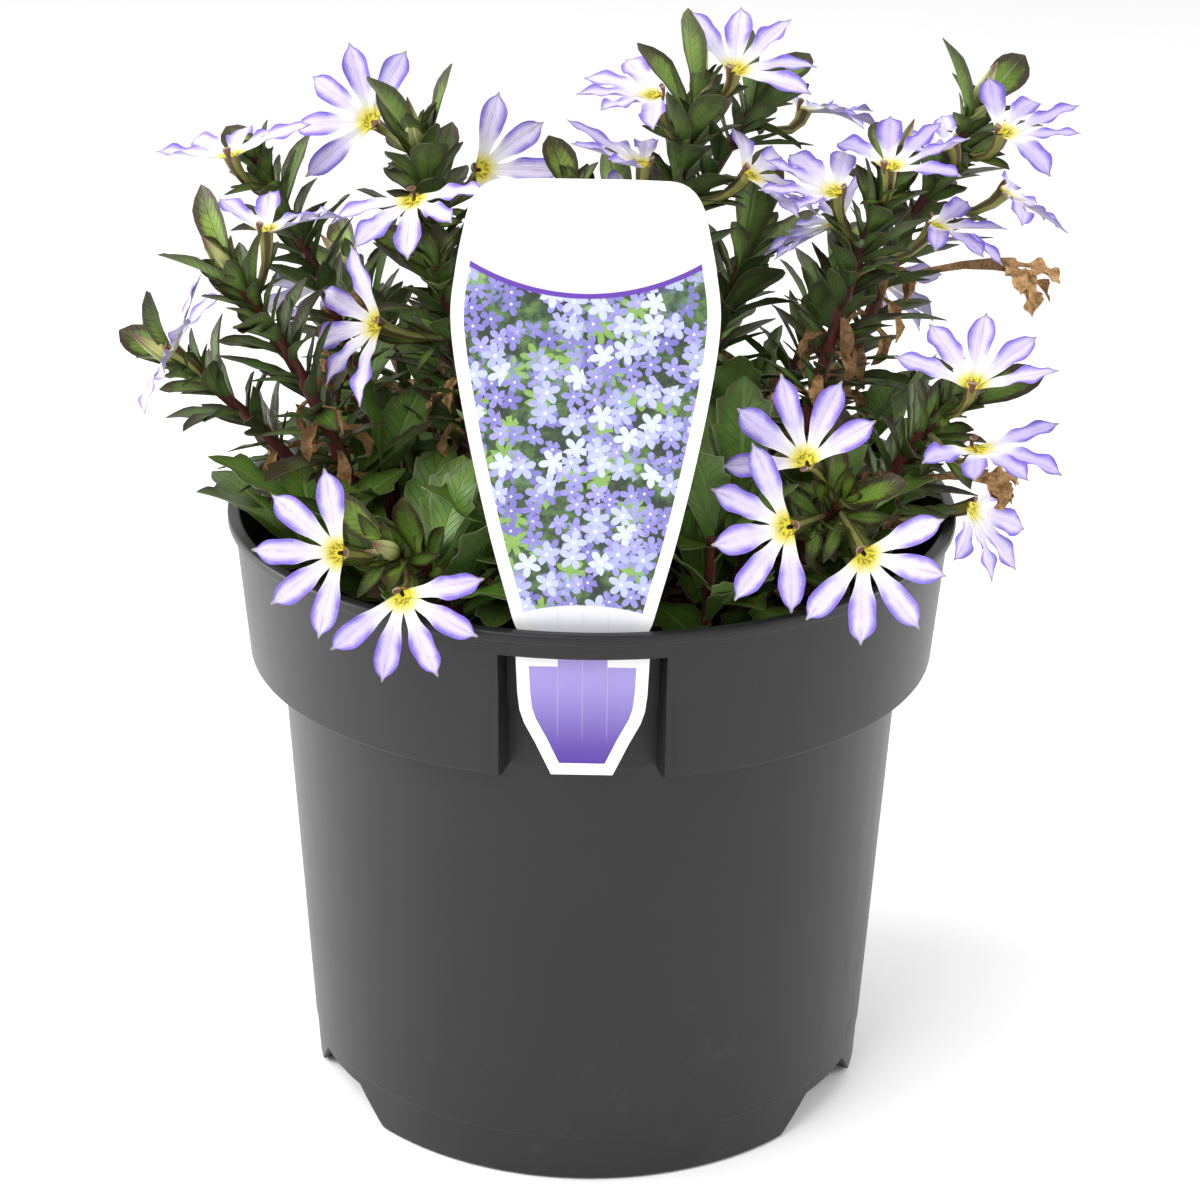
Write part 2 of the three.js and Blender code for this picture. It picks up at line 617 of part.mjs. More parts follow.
// The stems by name, in the order in which they grow.
function growStems() {
  return new Map(STEMS.map((stem) => [stem.name, { ...stem, curve: stemCurve(stem.root, stem.tip) }]));
}

function branchCurve(trunk) {
  const start = trunk.curve.at(BRANCH.at);
  const end = vec(BRANCH.tip);
  const middle = start.clone().lerp(end, 0.5);
  middle.addScaledVector(trunk.curve.tangent(BRANCH.at), 3);
  return bentLine(start, middle, end);
}

// A bloom's tube starts at the nearest point of its stem and opens at the throat.
function placeBloom(bloom, curve) {
  const throat = vec(bloom.throat);
  const faces = vec(bloom.faces).normalize();
  const fan = vec(bloom.fan);
  fan.addScaledVector(faces, -fan.dot(faces)).normalize();
  const wanted = throat.clone().addScaledVector(faces, -7);
  wanted.z -= 2;
  let nearest = 0.3;
  for (let i = 0; i <= 70; i += 1) {
    const t = 0.3 + (0.66 * i) / 70;
    if (curve.at(t).distanceTo(wanted) < curve.at(nearest).distanceTo(wanted)) nearest = t;
  }
  const foot = curve.at(nearest);
  const bow = throat.clone().addScaledVector(faces, -0.55 * foot.distanceTo(throat));
  const out = bow.clone().sub(foot);
  const axis = curve.tangent(nearest);
  out.addScaledVector(axis, -out.dot(axis)).normalize();
  foot.addScaledVector(out, stemRadius(nearest) + GAP);
  const line = bentLine(foot, bow, throat);
  const side = fan.clone().cross(faces);
  const petals = [-2, -1, 0, 1, 2].map((place) => {
    const angle = 39 * place * RADIANS;
    const lift = PETAL_LIFT * RADIANS;
    const spread = fan.clone().multiplyScalar(Math.cos(angle)).addScaledVector(side, Math.sin(angle));
    const way = spread.multiplyScalar(Math.cos(lift)).addScaledVector(faces, Math.sin(lift));
    const base = throat.clone().addScaledVector(faces, -0.7).addScaledVector(way, 0.4);
    return makeBlade(base, way, faces, PETAL_LENGTH, PETAL_WIDTH / 2, 0.35, 0.18, PETAL);
  });
  return { throat, faces, fan, line, petals };
}

function bloomSolid(bloom, grown = 0) {
  const solids = bloom.petals.map((petal) => bladeSolid(petal, grown));
  solids.push(tube(bloom.line, 0, 1, 0.9 + grown, 2 + grown, 2, 5));
  return joined(solids);
}

function bloomCloud(bloom) {
  const cloud = bloom.petals.flatMap((petal) => bladeCloud(petal));
  for (const t of [0.45, 0.75, 1]) cloud.push(bloom.line.at(t));
  return cloud;
}

// A rosette: a short stem in the soil with large toothed leaves.
function rosetteStem([x, y], i) {
  const number = 30 + i;
  const start = new THREE.Vector3(x, y, SOIL_TOP - STEM_DEPTH);
  const end = new THREE.Vector3(x * 1.08, y * 1.08, SOIL_TOP + 14 + 12 * chance(number, 0, 6));
  return { name: `rosette_${i + 1}`, number, curve: bentLine(start, start.clone().lerp(end, 0.5), end) };
}

function rosetteLeaves({ name, number, curve }) {
  const leaves = [];
  const { x, y } = curve.at(0);
  const outward = Math.atan2(y, x);
  for (let k = 0; k < 5; k += 1) {
    const length = 25 + 6 * chance(number, k, 7);
    const halfWidth = 0.2 * length + 0.6 * chance(number, k, 8);
    const bend = 0.3 + 0.4 * chance(number, k, 10);
    const base = curve.at(0.6 + 0.09 * k);
    const leafAt = (extraPitch, extraTurn) => {
      const angle = outward + k * GOLDEN_ANGLE + 0.6 * (chance(number, k, 9) - 0.5) + extraTurn;
      const out = new THREE.Vector3(Math.cos(angle), Math.sin(angle), 0);
      const lean = (62 - 9 * k) * RADIANS + extraPitch;
      const way = UP.clone().multiplyScalar(Math.cos(lean)).addScaledVector(out, Math.sin(lean));
      return makeBlade(base, way, UP, length, halfWidth, bend, 0.2, TOOTHED);
    };
    leaves.push(...settle(name, leafAt));
  }
  return leaves;
}

// A dried bloom: a thin stalk with crumpled petals hanging from its end.
function spentSolid(spent, curve) {
  const foot = curve.at(spent.at);
  const tip = vec(spent.tip);
  const out = tip.clone().sub(foot).normalize();
  foot.addScaledVector(out, stemRadius(spent.at) + GAP);
  const line = bentLine(foot, foot.clone().lerp(tip, 0.5).add(new THREE.Vector3(0, 0, 3)), tip);
  const solids = [tube(line, 0, 1, 0.7, 1.6, 3, 5)];
  for (const [turn, drop] of [[-0.7, 0.2], [0, -0.5], [0.6, -0.2]]) {
    const way = out.clone().applyAxisAngle(UP, turn);
    way.z = drop;
    const base = tip.clone().addScaledVector(out, -1.5);
    solids.push(bladeSolid(makeBlade(base, way, UP, spent.length, 1.8, 0.9, 0.4, NARROW)));
  }
  return joined(solids);
}

// Materials, by what they look like.
const MATERIALS = {
  pot: { color: 0x3b3d40, roughness: 0.42 },
  soil: { color: 0x2a1c14, roughness: 0.95 },
  label: { color: 0xf4f4f2, roughness: 0.35 },
  leaf: { color: 0x35602c, roughness: 0.45 },
  petal: { color: 0xb6a4ee, roughness: 0.55 },
  dry: { color: 0xb5915a, roughness: 0.85 },
};

const plant = new THREE.Group();

function addNode(name, solid, finish) {
  const material = new THREE.MeshStandardMaterial({ ...MATERIALS[finish], metalness: 0 });
  const mesh = new THREE.Mesh(toGeometry(solid), material);
  mesh.name = name;
  plant.add(mesh);
}

// The solids that what comes later has to stay clear of.
const keepClear = [];

function guard(solid) {
  keepClear.push({ solid, bounds: solid.boundingBox() });
}

// A node's solid, trimmed where an earlier neighbour needs the room.
function trimmed(solid) {
  const bounds = solid.boundingBox();
  const near = keepClear.filter((other) => {
    const [low, high] = [other.bounds.min, other.bounds.max];
    return [0, 1, 2].every((i) => low[i] < bounds.max[i] && high[i] > bounds.min[i]);
  });
  if (near.length === 0) return mainBody(solid);
  return mainBody(solid.subtract(joined(near.map((other) => other.solid))));
}

// The room that the pot's collar and the label take, a gap larger than they are.
function rimGuard() {
  const profile = [
    [COLLAR_BOTTOM_RADIUS - WALL - GAP, COLLAR_BOTTOM],
    [COLLAR_TOP_RADIUS + GAP, COLLAR_BOTTOM],
    [LIP_RADIUS + GAP, LIP_BOTTOM],
    [LIP_RADIUS + GAP, POT_HEIGHT + GAP],
    [COLLAR_TOP_RADIUS - WALL - GAP, POT_HEIGHT + GAP],
    [COLLAR_BOTTOM_RADIUS - WALL - GAP, COLLAR_BOTTOM],
  ];
  return turned(profile, 2 * POT_SIDES);
}

function labelGuard() {
  const half = Math.max(...LABEL_SIDE.map(([x]) => x)) + GAP;
  const front = LABEL_FRONT - GAP;
  const back = LABEL_FRONT + LABEL_THICKNESS + GAP;
  return box(-half, half, front, back, POT_HEIGHT - 4, LABEL_TOP + GAP);
}

function build() {
  occupyPotAndLabel();
  const stems = growStems();
  const branch = branchCurve(stems.get("f"));
  const curveOf = (name) => (name === "g" ? branch : stems.get(name).curve);

  const blooms = BLOOMS.map((bloom, i) => ({
    name: `bloom_${String(i + 1).padStart(2, "0")}`,
    ...placeBloom(bloom, curveOf(bloom.on)),
  }));
  for (const bloom of blooms) occupy(bloom.name, bloomCloud(bloom));

  const rosettes = ROSETTES.map(rosetteStem);
  for (const rosette of rosettes) {
    for (let i = 4; i < 10; i += 1) occupy(rosette.name, [rosette.curve.at(i / 10)]);
  }
  for (const stem of stems.values()) {
    for (let i = 7; i < 40; i += 1) occupy(`stem_${stem.name}`, [stem.curve.at(i / 40)]);
  }
  const grown = [...stems.values()].map((stem, number) => {
    const name = `stem_${stem.name}`;
    const leaves = leavesOn(name, number, stem.curve, stem.size, 0.3, stemRadius);
    return { ...stem, name, leaves };
  });
  const branchLeaves = leavesOn("stem_f", 20, branch, BRANCH.size, 0.3, () => STEM_TIP_RADIUS);
  for (const rosette of rosettes) rosette.leaves = rosetteLeaves(rosette);

  addNode("pot", potSolid(), "pot");
  addNode("label", labelSolid(), "label");
  guard(rimGuard());
  guard(labelGuard());
  addNode("soil", soilSolid([...grown, ...rosettes]), "soil");

  for (const bloom of blooms) {
    const solid = trimmed(bloomSolid(bloom));
    addNode(bloom.name, solid, "petal");
    guard(bloomSolid(bloom, GAP));
  }
  SPENT.forEach((spent, i) => {
    const solid = spentSolid(spent, curveOf(spent.on));
    addNode(`spent_${i + 1}`, trimmed(solid), "dry");
    guard(solid);
  });
  for (const stem of grown) {
    const trunk = (extra) => [
      tube(stem.curve, 0, 1, STEM_ROOT_RADIUS + extra, STEM_TIP_RADIUS + extra, 5, STEM_SIDES),
    ];
    const solids = trunk(0);
    for (let bud = 0; bud < stem.buds; bud += 1) {
      const way = stem.curve.tangent(1).addScaledVector(stem.curve.across, 0.3).normalize();
      solids.push(budSolid(stem.curve.at(0.97), way, 12, 1.6));
    }
    const leaves = [...stem.leaves];
    if (stem.name === "stem_f") {
      solids.push(tube(branch, 0, 1, 1.2, STEM_TIP_RADIUS, 3, STEM_SIDES));
      leaves.push(...branchLeaves);
    }
    const whole = joined([...solids, ...leaves.map((leaf) => bladeSolid(leaf))]);
    addNode(stem.name, trimmed(whole), "leaf");
    guard(joined([...trunk(GAP), ...leaves.map((leaf) => bladeSolid(leaf, GAP))]));
  }
  for (const rosette of rosettes) {
    const radius = STEM_ROOT_RADIUS;
    const trunk = (extra) => tube(rosette.curve, 0, 1, radius + extra, radius + extra, 1, STEM_SIDES);
    const whole = joined([trunk(0), ...rosette.leaves.map((leaf) => bladeSolid(leaf))]);
    addNode(rosette.name, trimmed(whole), "leaf");
    guard(joined([trunk(GAP), ...rosette.leaves.map((leaf) => bladeSolid(leaf, GAP))]));
  }
}

build();

export default plant;
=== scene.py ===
# %% [markdown]
# A potted fan flower.
# This lesson dresses a measured plant in Blender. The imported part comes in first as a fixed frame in
# metres: the ground is at z = 0, the pot's axis is the Z axis, and the label hangs at the front, towards
# -Y. Nearly every piece that we model takes the place of a plain solid, so the sizes never change.

import math

import bpy
import numpy as np
from mathutils import Matrix, Vector


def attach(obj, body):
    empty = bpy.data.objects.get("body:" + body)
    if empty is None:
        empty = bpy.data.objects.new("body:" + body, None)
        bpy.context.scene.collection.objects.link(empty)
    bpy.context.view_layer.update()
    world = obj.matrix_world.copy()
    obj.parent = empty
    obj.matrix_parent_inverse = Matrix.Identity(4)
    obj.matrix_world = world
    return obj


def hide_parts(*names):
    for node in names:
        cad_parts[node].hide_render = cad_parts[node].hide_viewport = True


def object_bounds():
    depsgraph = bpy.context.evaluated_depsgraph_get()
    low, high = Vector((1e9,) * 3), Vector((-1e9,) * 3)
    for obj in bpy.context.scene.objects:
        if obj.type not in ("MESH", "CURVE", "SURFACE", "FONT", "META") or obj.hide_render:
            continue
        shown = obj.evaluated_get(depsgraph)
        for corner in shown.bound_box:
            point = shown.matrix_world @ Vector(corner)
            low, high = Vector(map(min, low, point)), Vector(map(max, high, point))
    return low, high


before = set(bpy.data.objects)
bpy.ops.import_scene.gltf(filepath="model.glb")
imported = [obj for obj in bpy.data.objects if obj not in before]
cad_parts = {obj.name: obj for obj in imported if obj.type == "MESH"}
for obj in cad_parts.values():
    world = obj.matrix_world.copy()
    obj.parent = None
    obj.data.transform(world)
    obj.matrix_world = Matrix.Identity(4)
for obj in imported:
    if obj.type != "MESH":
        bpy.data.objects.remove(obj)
cad_low, cad_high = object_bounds()
MM = 0.001
print("nodes:", len(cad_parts))
print("size in mm:", [round(1000 * side, 1) for side in cad_high - cad_low])

# %% [markdown]
# The camera stands where the photographer stood: half a metre in front of the pot and looking down at it.
# Its place and turn were worked out from the round rim and foot of the pot. A long lens keeps the pot
# from bulging. The camera is made from its own right, up and forward directions.

# %% Stand the camera
CAMERA_PLACE = Vector((0.010766, -0.513976, 0.306235))
CAMERA_RIGHT = Vector((0.999716, 0.021648, 0.009981))
CAMERA_UP = Vector((-0.017408, 0.376945, 0.926072))
CAMERA_FORWARD = Vector((-0.016285, 0.925983, -0.377214))
CAMERA_LENS = 84.9

camera_data = bpy.data.cameras.new("photo_camera")
camera_data.lens = CAMERA_LENS
camera_data.sensor_width = 36
camera = bpy.data.objects.new("photo_camera", camera_data)
bpy.context.scene.collection.objects.link(camera)
turned = Matrix((CAMERA_RIGHT, CAMERA_UP, -CAMERA_FORWARD)).transposed()
camera.matrix_world = Matrix.Translation(CAMERA_PLACE) @ turned.to_4x4()
bpy.context.scene.camera = camera
print("camera at", [round(value, 3) for value in CAMERA_PLACE])

# %% [markdown]
# Materials are graphs of nodes, and long graphs are hard to read when every link is written out. Two
# small classes help. A Value wraps one number socket, so that a sum such as 1 - mask adds its own Math
# node. A Page is a page of nodes with one method that makes any node: it takes the node's type, its
# settings and what goes into its sockets. A Finish is the page of one material.

# %% Write shader maths as sums


class Value:
    """One number on a page of nodes, on which sums can be done."""

    def __init__(self, page, socket):
        self.page = page
        self.socket = socket

    def math(self, operation, first, second=0.0):
        made = self.page.node("ShaderNodeMath", {"operation": operation}, {0: first, 1: second})
        return Value(self.page, made.outputs[0])

    def __add__(self, other):
        return self.math("ADD", self, other)

    def __radd__(self, other):
        return self.math("ADD", other, self)

    def __sub__(self, other):
        return self.math("SUBTRACT", self, other)

    def __rsub__(self, other):
        return self.math("SUBTRACT", other, self)

    def __mul__(self, other):
        return self.math("MULTIPLY", self, other)

    def __rmul__(self, other):
        return self.math("MULTIPLY", other, self)

    def __pow__(self, other):
        return self.math("POWER", self, other)

    def __abs__(self):
        return self.math("ABSOLUTE", self)

    def sine(self):
        return self.math("SINE", self)

    def at_most(self, other):
        return self.math("MINIMUM", self, other)

    def rising(self, start, end):
        """0 below start and 1 above end, with a soft step between them."""
        settings = {"interpolation_type": "SMOOTHSTEP"}
        made = self.page.node("ShaderNodeMapRange", settings, {0: self, 1: start, 2: end})
        return Value(self.page, made.outputs[0])


class Page:
    """A page of nodes."""

    def __init__(self, tree):
        self.tree = tree

    def node(self, kind, settings=None, sockets=None):
        made = self.tree.nodes.new(kind)
        for setting, choice in (settings or {}).items():
            setattr(made, setting, choice)
        for socket, given in (sockets or {}).items():
            self.feed(made.inputs[socket], given)
        return made

    def feed(self, socket, given):
        if isinstance(given, Value):
            given = given.socket
        if isinstance(given, bpy.types.NodeSocket):
            self.tree.links.new(given, socket)
        elif isinstance(given, (tuple, list)) and len(given) == 3 and socket.type == "RGBA":
            socket.default_value = (*given, 1)
        else:
            socket.default_value = given


class Finish(Page):
    """One material and its page of nodes. Its coordinates are the object's own, in metres."""

    def __init__(self, name):
        self.material = bpy.data.materials.new(name)
        self.material.use_nodes = True
        super().__init__(self.material.node_tree)
        self.shader = self.tree.nodes["Principled BSDF"]
        self.spot = self.node("ShaderNodeTexCoord").outputs["Object"]
        split = self.node("ShaderNodeSeparateXYZ", None, {0: self.spot})
        self.x, self.y, self.z = (Value(self, out) for out in split.outputs)

    def mark(self, name):
        """A number that the mesh itself carries from point to point."""
        made = self.node("ShaderNodeAttribute", {"attribute_name": name})
        return Value(self, made.outputs["Fac"])

    def noise(self, scale, detail=2.0, roughness=0.5, height_scale=1.0):
        """Noise from 0 to 1. A small height scale draws it out upwards into long marks."""
        spot = self.spot
        if height_scale != 1.0:
            sockets = {"Vector": spot, "Scale": (1.0, 1.0, height_scale)}
            spot = self.node("ShaderNodeMapping", None, sockets).outputs[0]
        sockets = {"Vector": spot, "Scale": scale, "Detail": detail, "Roughness": roughness}
        return Value(self, self.node("ShaderNodeTexNoise", None, sockets).outputs["Fac"])

    def blend(self, amount, first, second):
        """One colour turning into another as amount goes from 0 to 1."""
        settings = {"data_type": "RGBA", "clamp_factor": True}
        made = self.node("ShaderNodeMix", settings, {0: amount, 6: first, 7: second})
        return made.outputs[2]

    def layers(self, colour, *coats):
        """A colour with coats over it. Each coat is given as its mask and its colour."""
        for mask, coat in coats:
            colour = self.blend(mask, colour, coat)
        return colour

    def wear(self, colour, roughness, height=None, depth=0.0002, specular=0.5):
        """Connects the finished values to the shader. Height becomes bumps of that depth in metres."""
        self.feed(self.shader.inputs["Base Color"], colour)
        self.feed(self.shader.inputs["Roughness"], roughness)
        self.shader.inputs["Specular IOR Level"].default_value = specular
        if height is not None:
            bump = self.node("ShaderNodeBump", None, {"Height": height, "Distance": depth, "Strength": 1.0})
            self.feed(self.shader.inputs["Normal"], bump.outputs["Normal"])
        print("finish:", self.material.name, "with", len(self.tree.nodes), "nodes")
        return self.material


print("shader helpers ready")

# %% [markdown]
# The photograph was taken on a plain white sweep under soft light. A broad pale floor and a sky that is
# white behind the plant and dimmer behind the camera give the same brightness. That difference is what
# draws the pot's soft bright edges. One large lamp from the upper left shapes the plant, and three weaker
# ones brighten its sides and its front.

# %% Lay the floor and hang the lamps
FLOOR_SIZE = 12.0
ROOM_LIGHT = 0.22
SWEEP_LIGHT = 1.12
DIMMEST_WAY = -0.95
BRIGHTEST_WAY = 0.35
LAMPS_LOOK_AT = Vector((0, 0, 0.11))

bpy.ops.object.select_all(action="DESELECT")
bpy.ops.mesh.primitive_plane_add(size=FLOOR_SIZE, location=(0, 0, -0.0002))
floor = bpy.context.active_object
floor.name = "studio_floor"
floor_finish = Finish("pale_floor")
floor_tone = floor_finish.noise(6.0, 3.0)
floor_colour = floor_finish.blend(floor_tone, (0.93, 0.93, 0.93), (0.96, 0.96, 0.96))
floor.data.materials.append(floor_finish.wear(floor_colour, 0.8, specular=0.1))

world = bpy.data.worlds.new("white_sky")
world.use_nodes = True
sky = Page(world.node_tree)
sky_direction = sky.node("ShaderNodeTexCoord").outputs["Generated"]
sky_parts = sky.node("ShaderNodeSeparateXYZ", None, {0: sky_direction})
towards_sweep = Value(sky, sky_parts.outputs["Y"]).rising(DIMMEST_WAY, BRIGHTEST_WAY)
background = world.node_tree.nodes["Background"]
sky.feed(background.inputs["Strength"], ROOM_LIGHT + towards_sweep * (SWEEP_LIGHT - ROOM_LIGHT))
sky.feed(background.inputs["Color"], (1.0, 1.0, 1.0))
bpy.context.scene.world = world
bpy.context.scene.view_settings.view_transform = "Standard"

LAMPS = {
    "key": {"place": (-0.55, -0.75, 1.15), "size": 0.8, "watts": 12.0},
    "left_strip": {"place": (-0.9, 0.05, 0.35), "size": 0.5, "watts": 9.0},
    "right_strip": {"place": (0.95, 0.1, 0.3), "size": 0.45, "watts": 5.0},
    "front_fill": {"place": (0.35, -1.2, 0.7), "size": 0.9, "watts": 4.0},
}
for lamp_name, lamp_facts in LAMPS.items():
    lamp_data = bpy.data.lights.new(lamp_name, "AREA")
    lamp_data.energy = lamp_facts["watts"]
    lamp_data.size = lamp_facts["size"]
    lamp = bpy.data.objects.new(lamp_name, lamp_data)
    lamp.location = lamp_facts["place"]
    towards_pot = LAMPS_LOOK_AT - lamp.location
    lamp.rotation_euler = towards_pot.to_track_quat("-Z", "Y").to_euler()
    bpy.context.scene.collection.objects.link(lamp)
print("lamps:", list(LAMPS))

# %% [markdown]
# Most pieces end in the same way: the mesh gets its finish, rides on the part's one body, and stands in
# for the plain solids that it covers. These helpers do the last two. A round piece such as the pot is drawn
# as half a section and spun about the Z axis, and its corners are rounded before the spin.

# %% Helpers for meshes
def alone(piece):
    """Selects one object and nothing else."""
    bpy.ops.object.select_all(action="DESELECT")
    piece.select_set(True)
    bpy.context.view_layer.objects.active = piece


def in_edit_mode(piece, *steps):
    """Runs steps of edit mode with the whole mesh selected."""
    alone(piece)
    bpy.ops.object.mode_set(mode="EDIT")
    bpy.ops.mesh.select_all(action="SELECT")
    for step in steps:
        step()
    bpy.ops.object.mode_set(mode="OBJECT")


def drawn(name, points, filled=False):
    """A line drawn from point to point with the extrude tool, and filled as one face if that is asked."""
    points = [Vector(point) for point in points]
    bpy.ops.object.select_all(action="DESELECT")
    bpy.ops.mesh.primitive_plane_add(size=MM)
    line = bpy.context.active_object
    line.name = name
    bpy.ops.object.mode_set(mode="EDIT")
    bpy.ops.mesh.merge(type="CENTER")
    bpy.ops.transform.translate(value=points[0])
    if filled:
        points.append(points[0])
    for before, after in zip(points, points[1:]):
        bpy.ops.mesh.extrude_region_move(TRANSFORM_OT_translate={"value": after - before})
    if filled:
        bpy.ops.mesh.select_all(action="SELECT")
        bpy.ops.mesh.remove_doubles(threshold=1e-6)
        bpy.ops.mesh.edge_face_add()
    bpy.ops.object.mode_set(mode="OBJECT")
    return line


def extruded(flat, way):
    """A flat face pushed along a way in mm, as a closed block."""
    push = {"value": [side * MM for side in way]}
    in_edit_mode(
        flat,
        lambda: bpy.ops.mesh.extrude_region_move(TRANSFORM_OT_translate=push),
        lambda: bpy.ops.mesh.select_all(action="SELECT"),
        lambda: bpy.ops.mesh.normals_make_consistent(inside=False),
    )
    return flat


def apply_modifier(piece, kind, **settings):
    alone(piece)
    modifier = piece.modifiers.new(kind.lower(), kind)
    for setting, value in settings.items():
        setattr(modifier, setting, value)
    bpy.ops.object.modifier_apply(modifier=modifier.name)


def smooth(piece, degrees=40):
    alone(piece)
    bpy.ops.object.shade_smooth_by_angle(angle=math.radians(degrees))


def hand_over(piece, slot, *nodes):
    """The piece stands in for CAD nodes and rides on the part. Its slot is not used."""
    if nodes:
        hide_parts(*nodes)
    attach(piece, "root")


def triangles(piece):
    return sum(len(face.vertices) - 2 for face in piece.data.polygons)


def on_arc(start, middle, end, t):
    """The point at a share t along a quadratic arc."""
    return (1 - t) ** 2 * start + 2 * t * (1 - t) * middle + t * t * end


def bow(start, middle, end, steps=8):
    """A quadratic arc from start to end, as a list of points."""
    start, middle, end = (np.array(point, float) for point in (start, middle, end))
    return [tuple(on_arc(start, middle, end, step / steps)) for step in range(steps + 1)]


def rounded(profile, radius, steps=4):
    """A section's corners, each replaced by a small arc."""
    line = [profile[0]]
    for before, corner, after in zip(profile, profile[1:], profile[2:]):
        before, corner, after = map(np.array, (before, corner, after))
        back = before - corner
        on = after - corner
        reach = min(radius, 0.4 * np.linalg.norm(back), 0.4 * np.linalg.norm(on))
        start = corner + back / np.linalg.norm(back) * reach
        end = corner + on / np.linalg.norm(on) * reach
        line += bow(start, corner, end, steps)
    line.append(profile[-1])
    return line


def spun(name, section, steps):
    """A section of [radius, height] in mm, spun about the Z axis into a closed shell."""
    made = drawn(name, [(radius * MM, 0, height * MM) for radius, height in section])
    in_edit_mode(
        made,
        lambda: bpy.ops.mesh.spin(
            steps=steps, angle=2 * math.pi, center=(0, 0, 0), axis=(0, 0, 1), use_auto_merge=True
        ),
        lambda: bpy.ops.mesh.select_all(action="SELECT"),
        lambda: bpy.ops.mesh.remove_doubles(threshold=1e-6),
        lambda: bpy.ops.mesh.normals_make_consistent(inside=False),
    )
    return made


print("mesh helpers ready")

# %% [markdown]
# The pot is injection-moulded plastic, 140 mm across its lip: a tapered body, a wider collar with a rolled
# lip, a raised floor, and three arched notches at the foot. Spinning one section gives all of the round
# forms at once. The label's pocket, the notches and the drain holes are then cut with Boolean modifiers,
# as the slides of a mould would cut them.

# %% Sizes of the pot in mm
WALL = 1.2
POT_HEIGHT = 118.5
FOOT_RADIUS = 55.6
FOOT_WIDTH = 2.2
FLOOR_UNDERSIDE = 8.3
COLLAR_BOTTOM = 89.5
BODY_TOP_RADIUS = 60.5
COLLAR_BOTTOM_RADIUS = 66.5
COLLAR_TOP_RADIUS = 68.7
LIP_BOTTOM = 116.4
LIP_RADIUS = 70
MOULD_RING = 9.4
NOTCH_AZIMUTHS = [-30, 90, 210]
NOTCH_FOOT_WIDTH = 32
NOTCH_TOP_WIDTH = 15.5
NOTCH_HEIGHT = 7
WINDOW_HALF_ANGLE = 12.4
WINDOW_TOP = 113.6
POCKET_ROOF = 1.6
POCKET_BACK_BOTTOM = 61
POCKET_BACK_TOP = 63
LABEL_FRONT = -65.8
LABEL_THICKNESS = 0.8
LABEL_TOP = 196.8
NECK_HALF_WIDTH = 4.3
GAP = 0.3

# %% Spin the pot's section
ledge = COLLAR_BOTTOM + WALL
foot_slope = (BODY_TOP_RADIUS - FOOT_RADIUS) / COLLAR_BOTTOM
ring_radius = FOOT_RADIUS + foot_slope * MOULD_RING
pot_section = [
    (0, FLOOR_UNDERSIDE),
    (FOOT_RADIUS - FOOT_WIDTH + 0.4, FLOOR_UNDERSIDE),
    (FOOT_RADIUS - FOOT_WIDTH, 0),
    (FOOT_RADIUS - 0.2, 0),
    (ring_radius - 0.2, MOULD_RING),
    (ring_radius, MOULD_RING + 0.3),
    (BODY_TOP_RADIUS, COLLAR_BOTTOM),
    (COLLAR_BOTTOM_RADIUS, COLLAR_BOTTOM),
    (COLLAR_TOP_RADIUS, LIP_BOTTOM - 0.4),
    (LIP_RADIUS, LIP_BOTTOM + 0.1),
    (LIP_RADIUS, POT_HEIGHT),
    (COLLAR_TOP_RADIUS - WALL, POT_HEIGHT),
    (COLLAR_TOP_RADIUS - WALL, LIP_BOTTOM),
    (COLLAR_BOTTOM_RADIUS - WALL, ledge),
    (BODY_TOP_RADIUS - WALL, ledge),
    (FOOT_RADIUS - WALL + 0.5, FLOOR_UNDERSIDE + WALL),
    (0, FLOOR_UNDERSIDE + WALL),
]
POT_STEPS = 180
pot = spun("nursery_pot", rounded(pot_section, 0.7), POT_STEPS)
print("pot shell:", triangles(pot), "triangles")

# %% [markdown]
# A Boolean needs a closed cutter. The pocket's cutters are curved blocks: an arc of points, drawn in plan
# at two radii and extruded upwards. The notch cutters are a trapezium, extruded through the wall and turned
# to their three places.

# %% Make the cutters
SECTOR_POINTS = 17


def sector(inner, outer, half_angle, bottom, top):
    """A curved block at the front between two radii, in mm."""
    angles = np.radians(np.linspace(-90 - half_angle, -90 + half_angle, SECTOR_POINTS))
    outline = [(outer * math.cos(a), outer * math.sin(a)) for a in angles]
    outline += [(inner * math.cos(a), inner * math.sin(a)) for a in angles[::-1]]
    plan = drawn("block", [(x * MM, y * MM, bottom * MM) for x, y in outline], filled=True)
    return extruded(plan, (0, 0, top - bottom))


def cut(piece, cutter, operation="DIFFERENCE"):
    apply_modifier(piece, "BOOLEAN", object=cutter, operation=operation, solver="EXACT")
    bpy.data.objects.remove(cutter)


def plain_box(size, place, turn=0.0):
    """A block for cutting, with its size and place in mm, turned about the pot's axis."""
    bpy.ops.object.select_all(action="DESELECT")
    bpy.ops.mesh.primitive_cube_add(size=1)
    made = bpy.context.active_object
    made.data.transform(Matrix.Diagonal(Vector((*size, 1))))
    made.data.transform(Matrix.Translation(Vector(place)))
    made.data.transform(Matrix.Rotation(turn, 4, "Z") @ Matrix.Scale(MM, 4))
    return made


print("cutters ready")

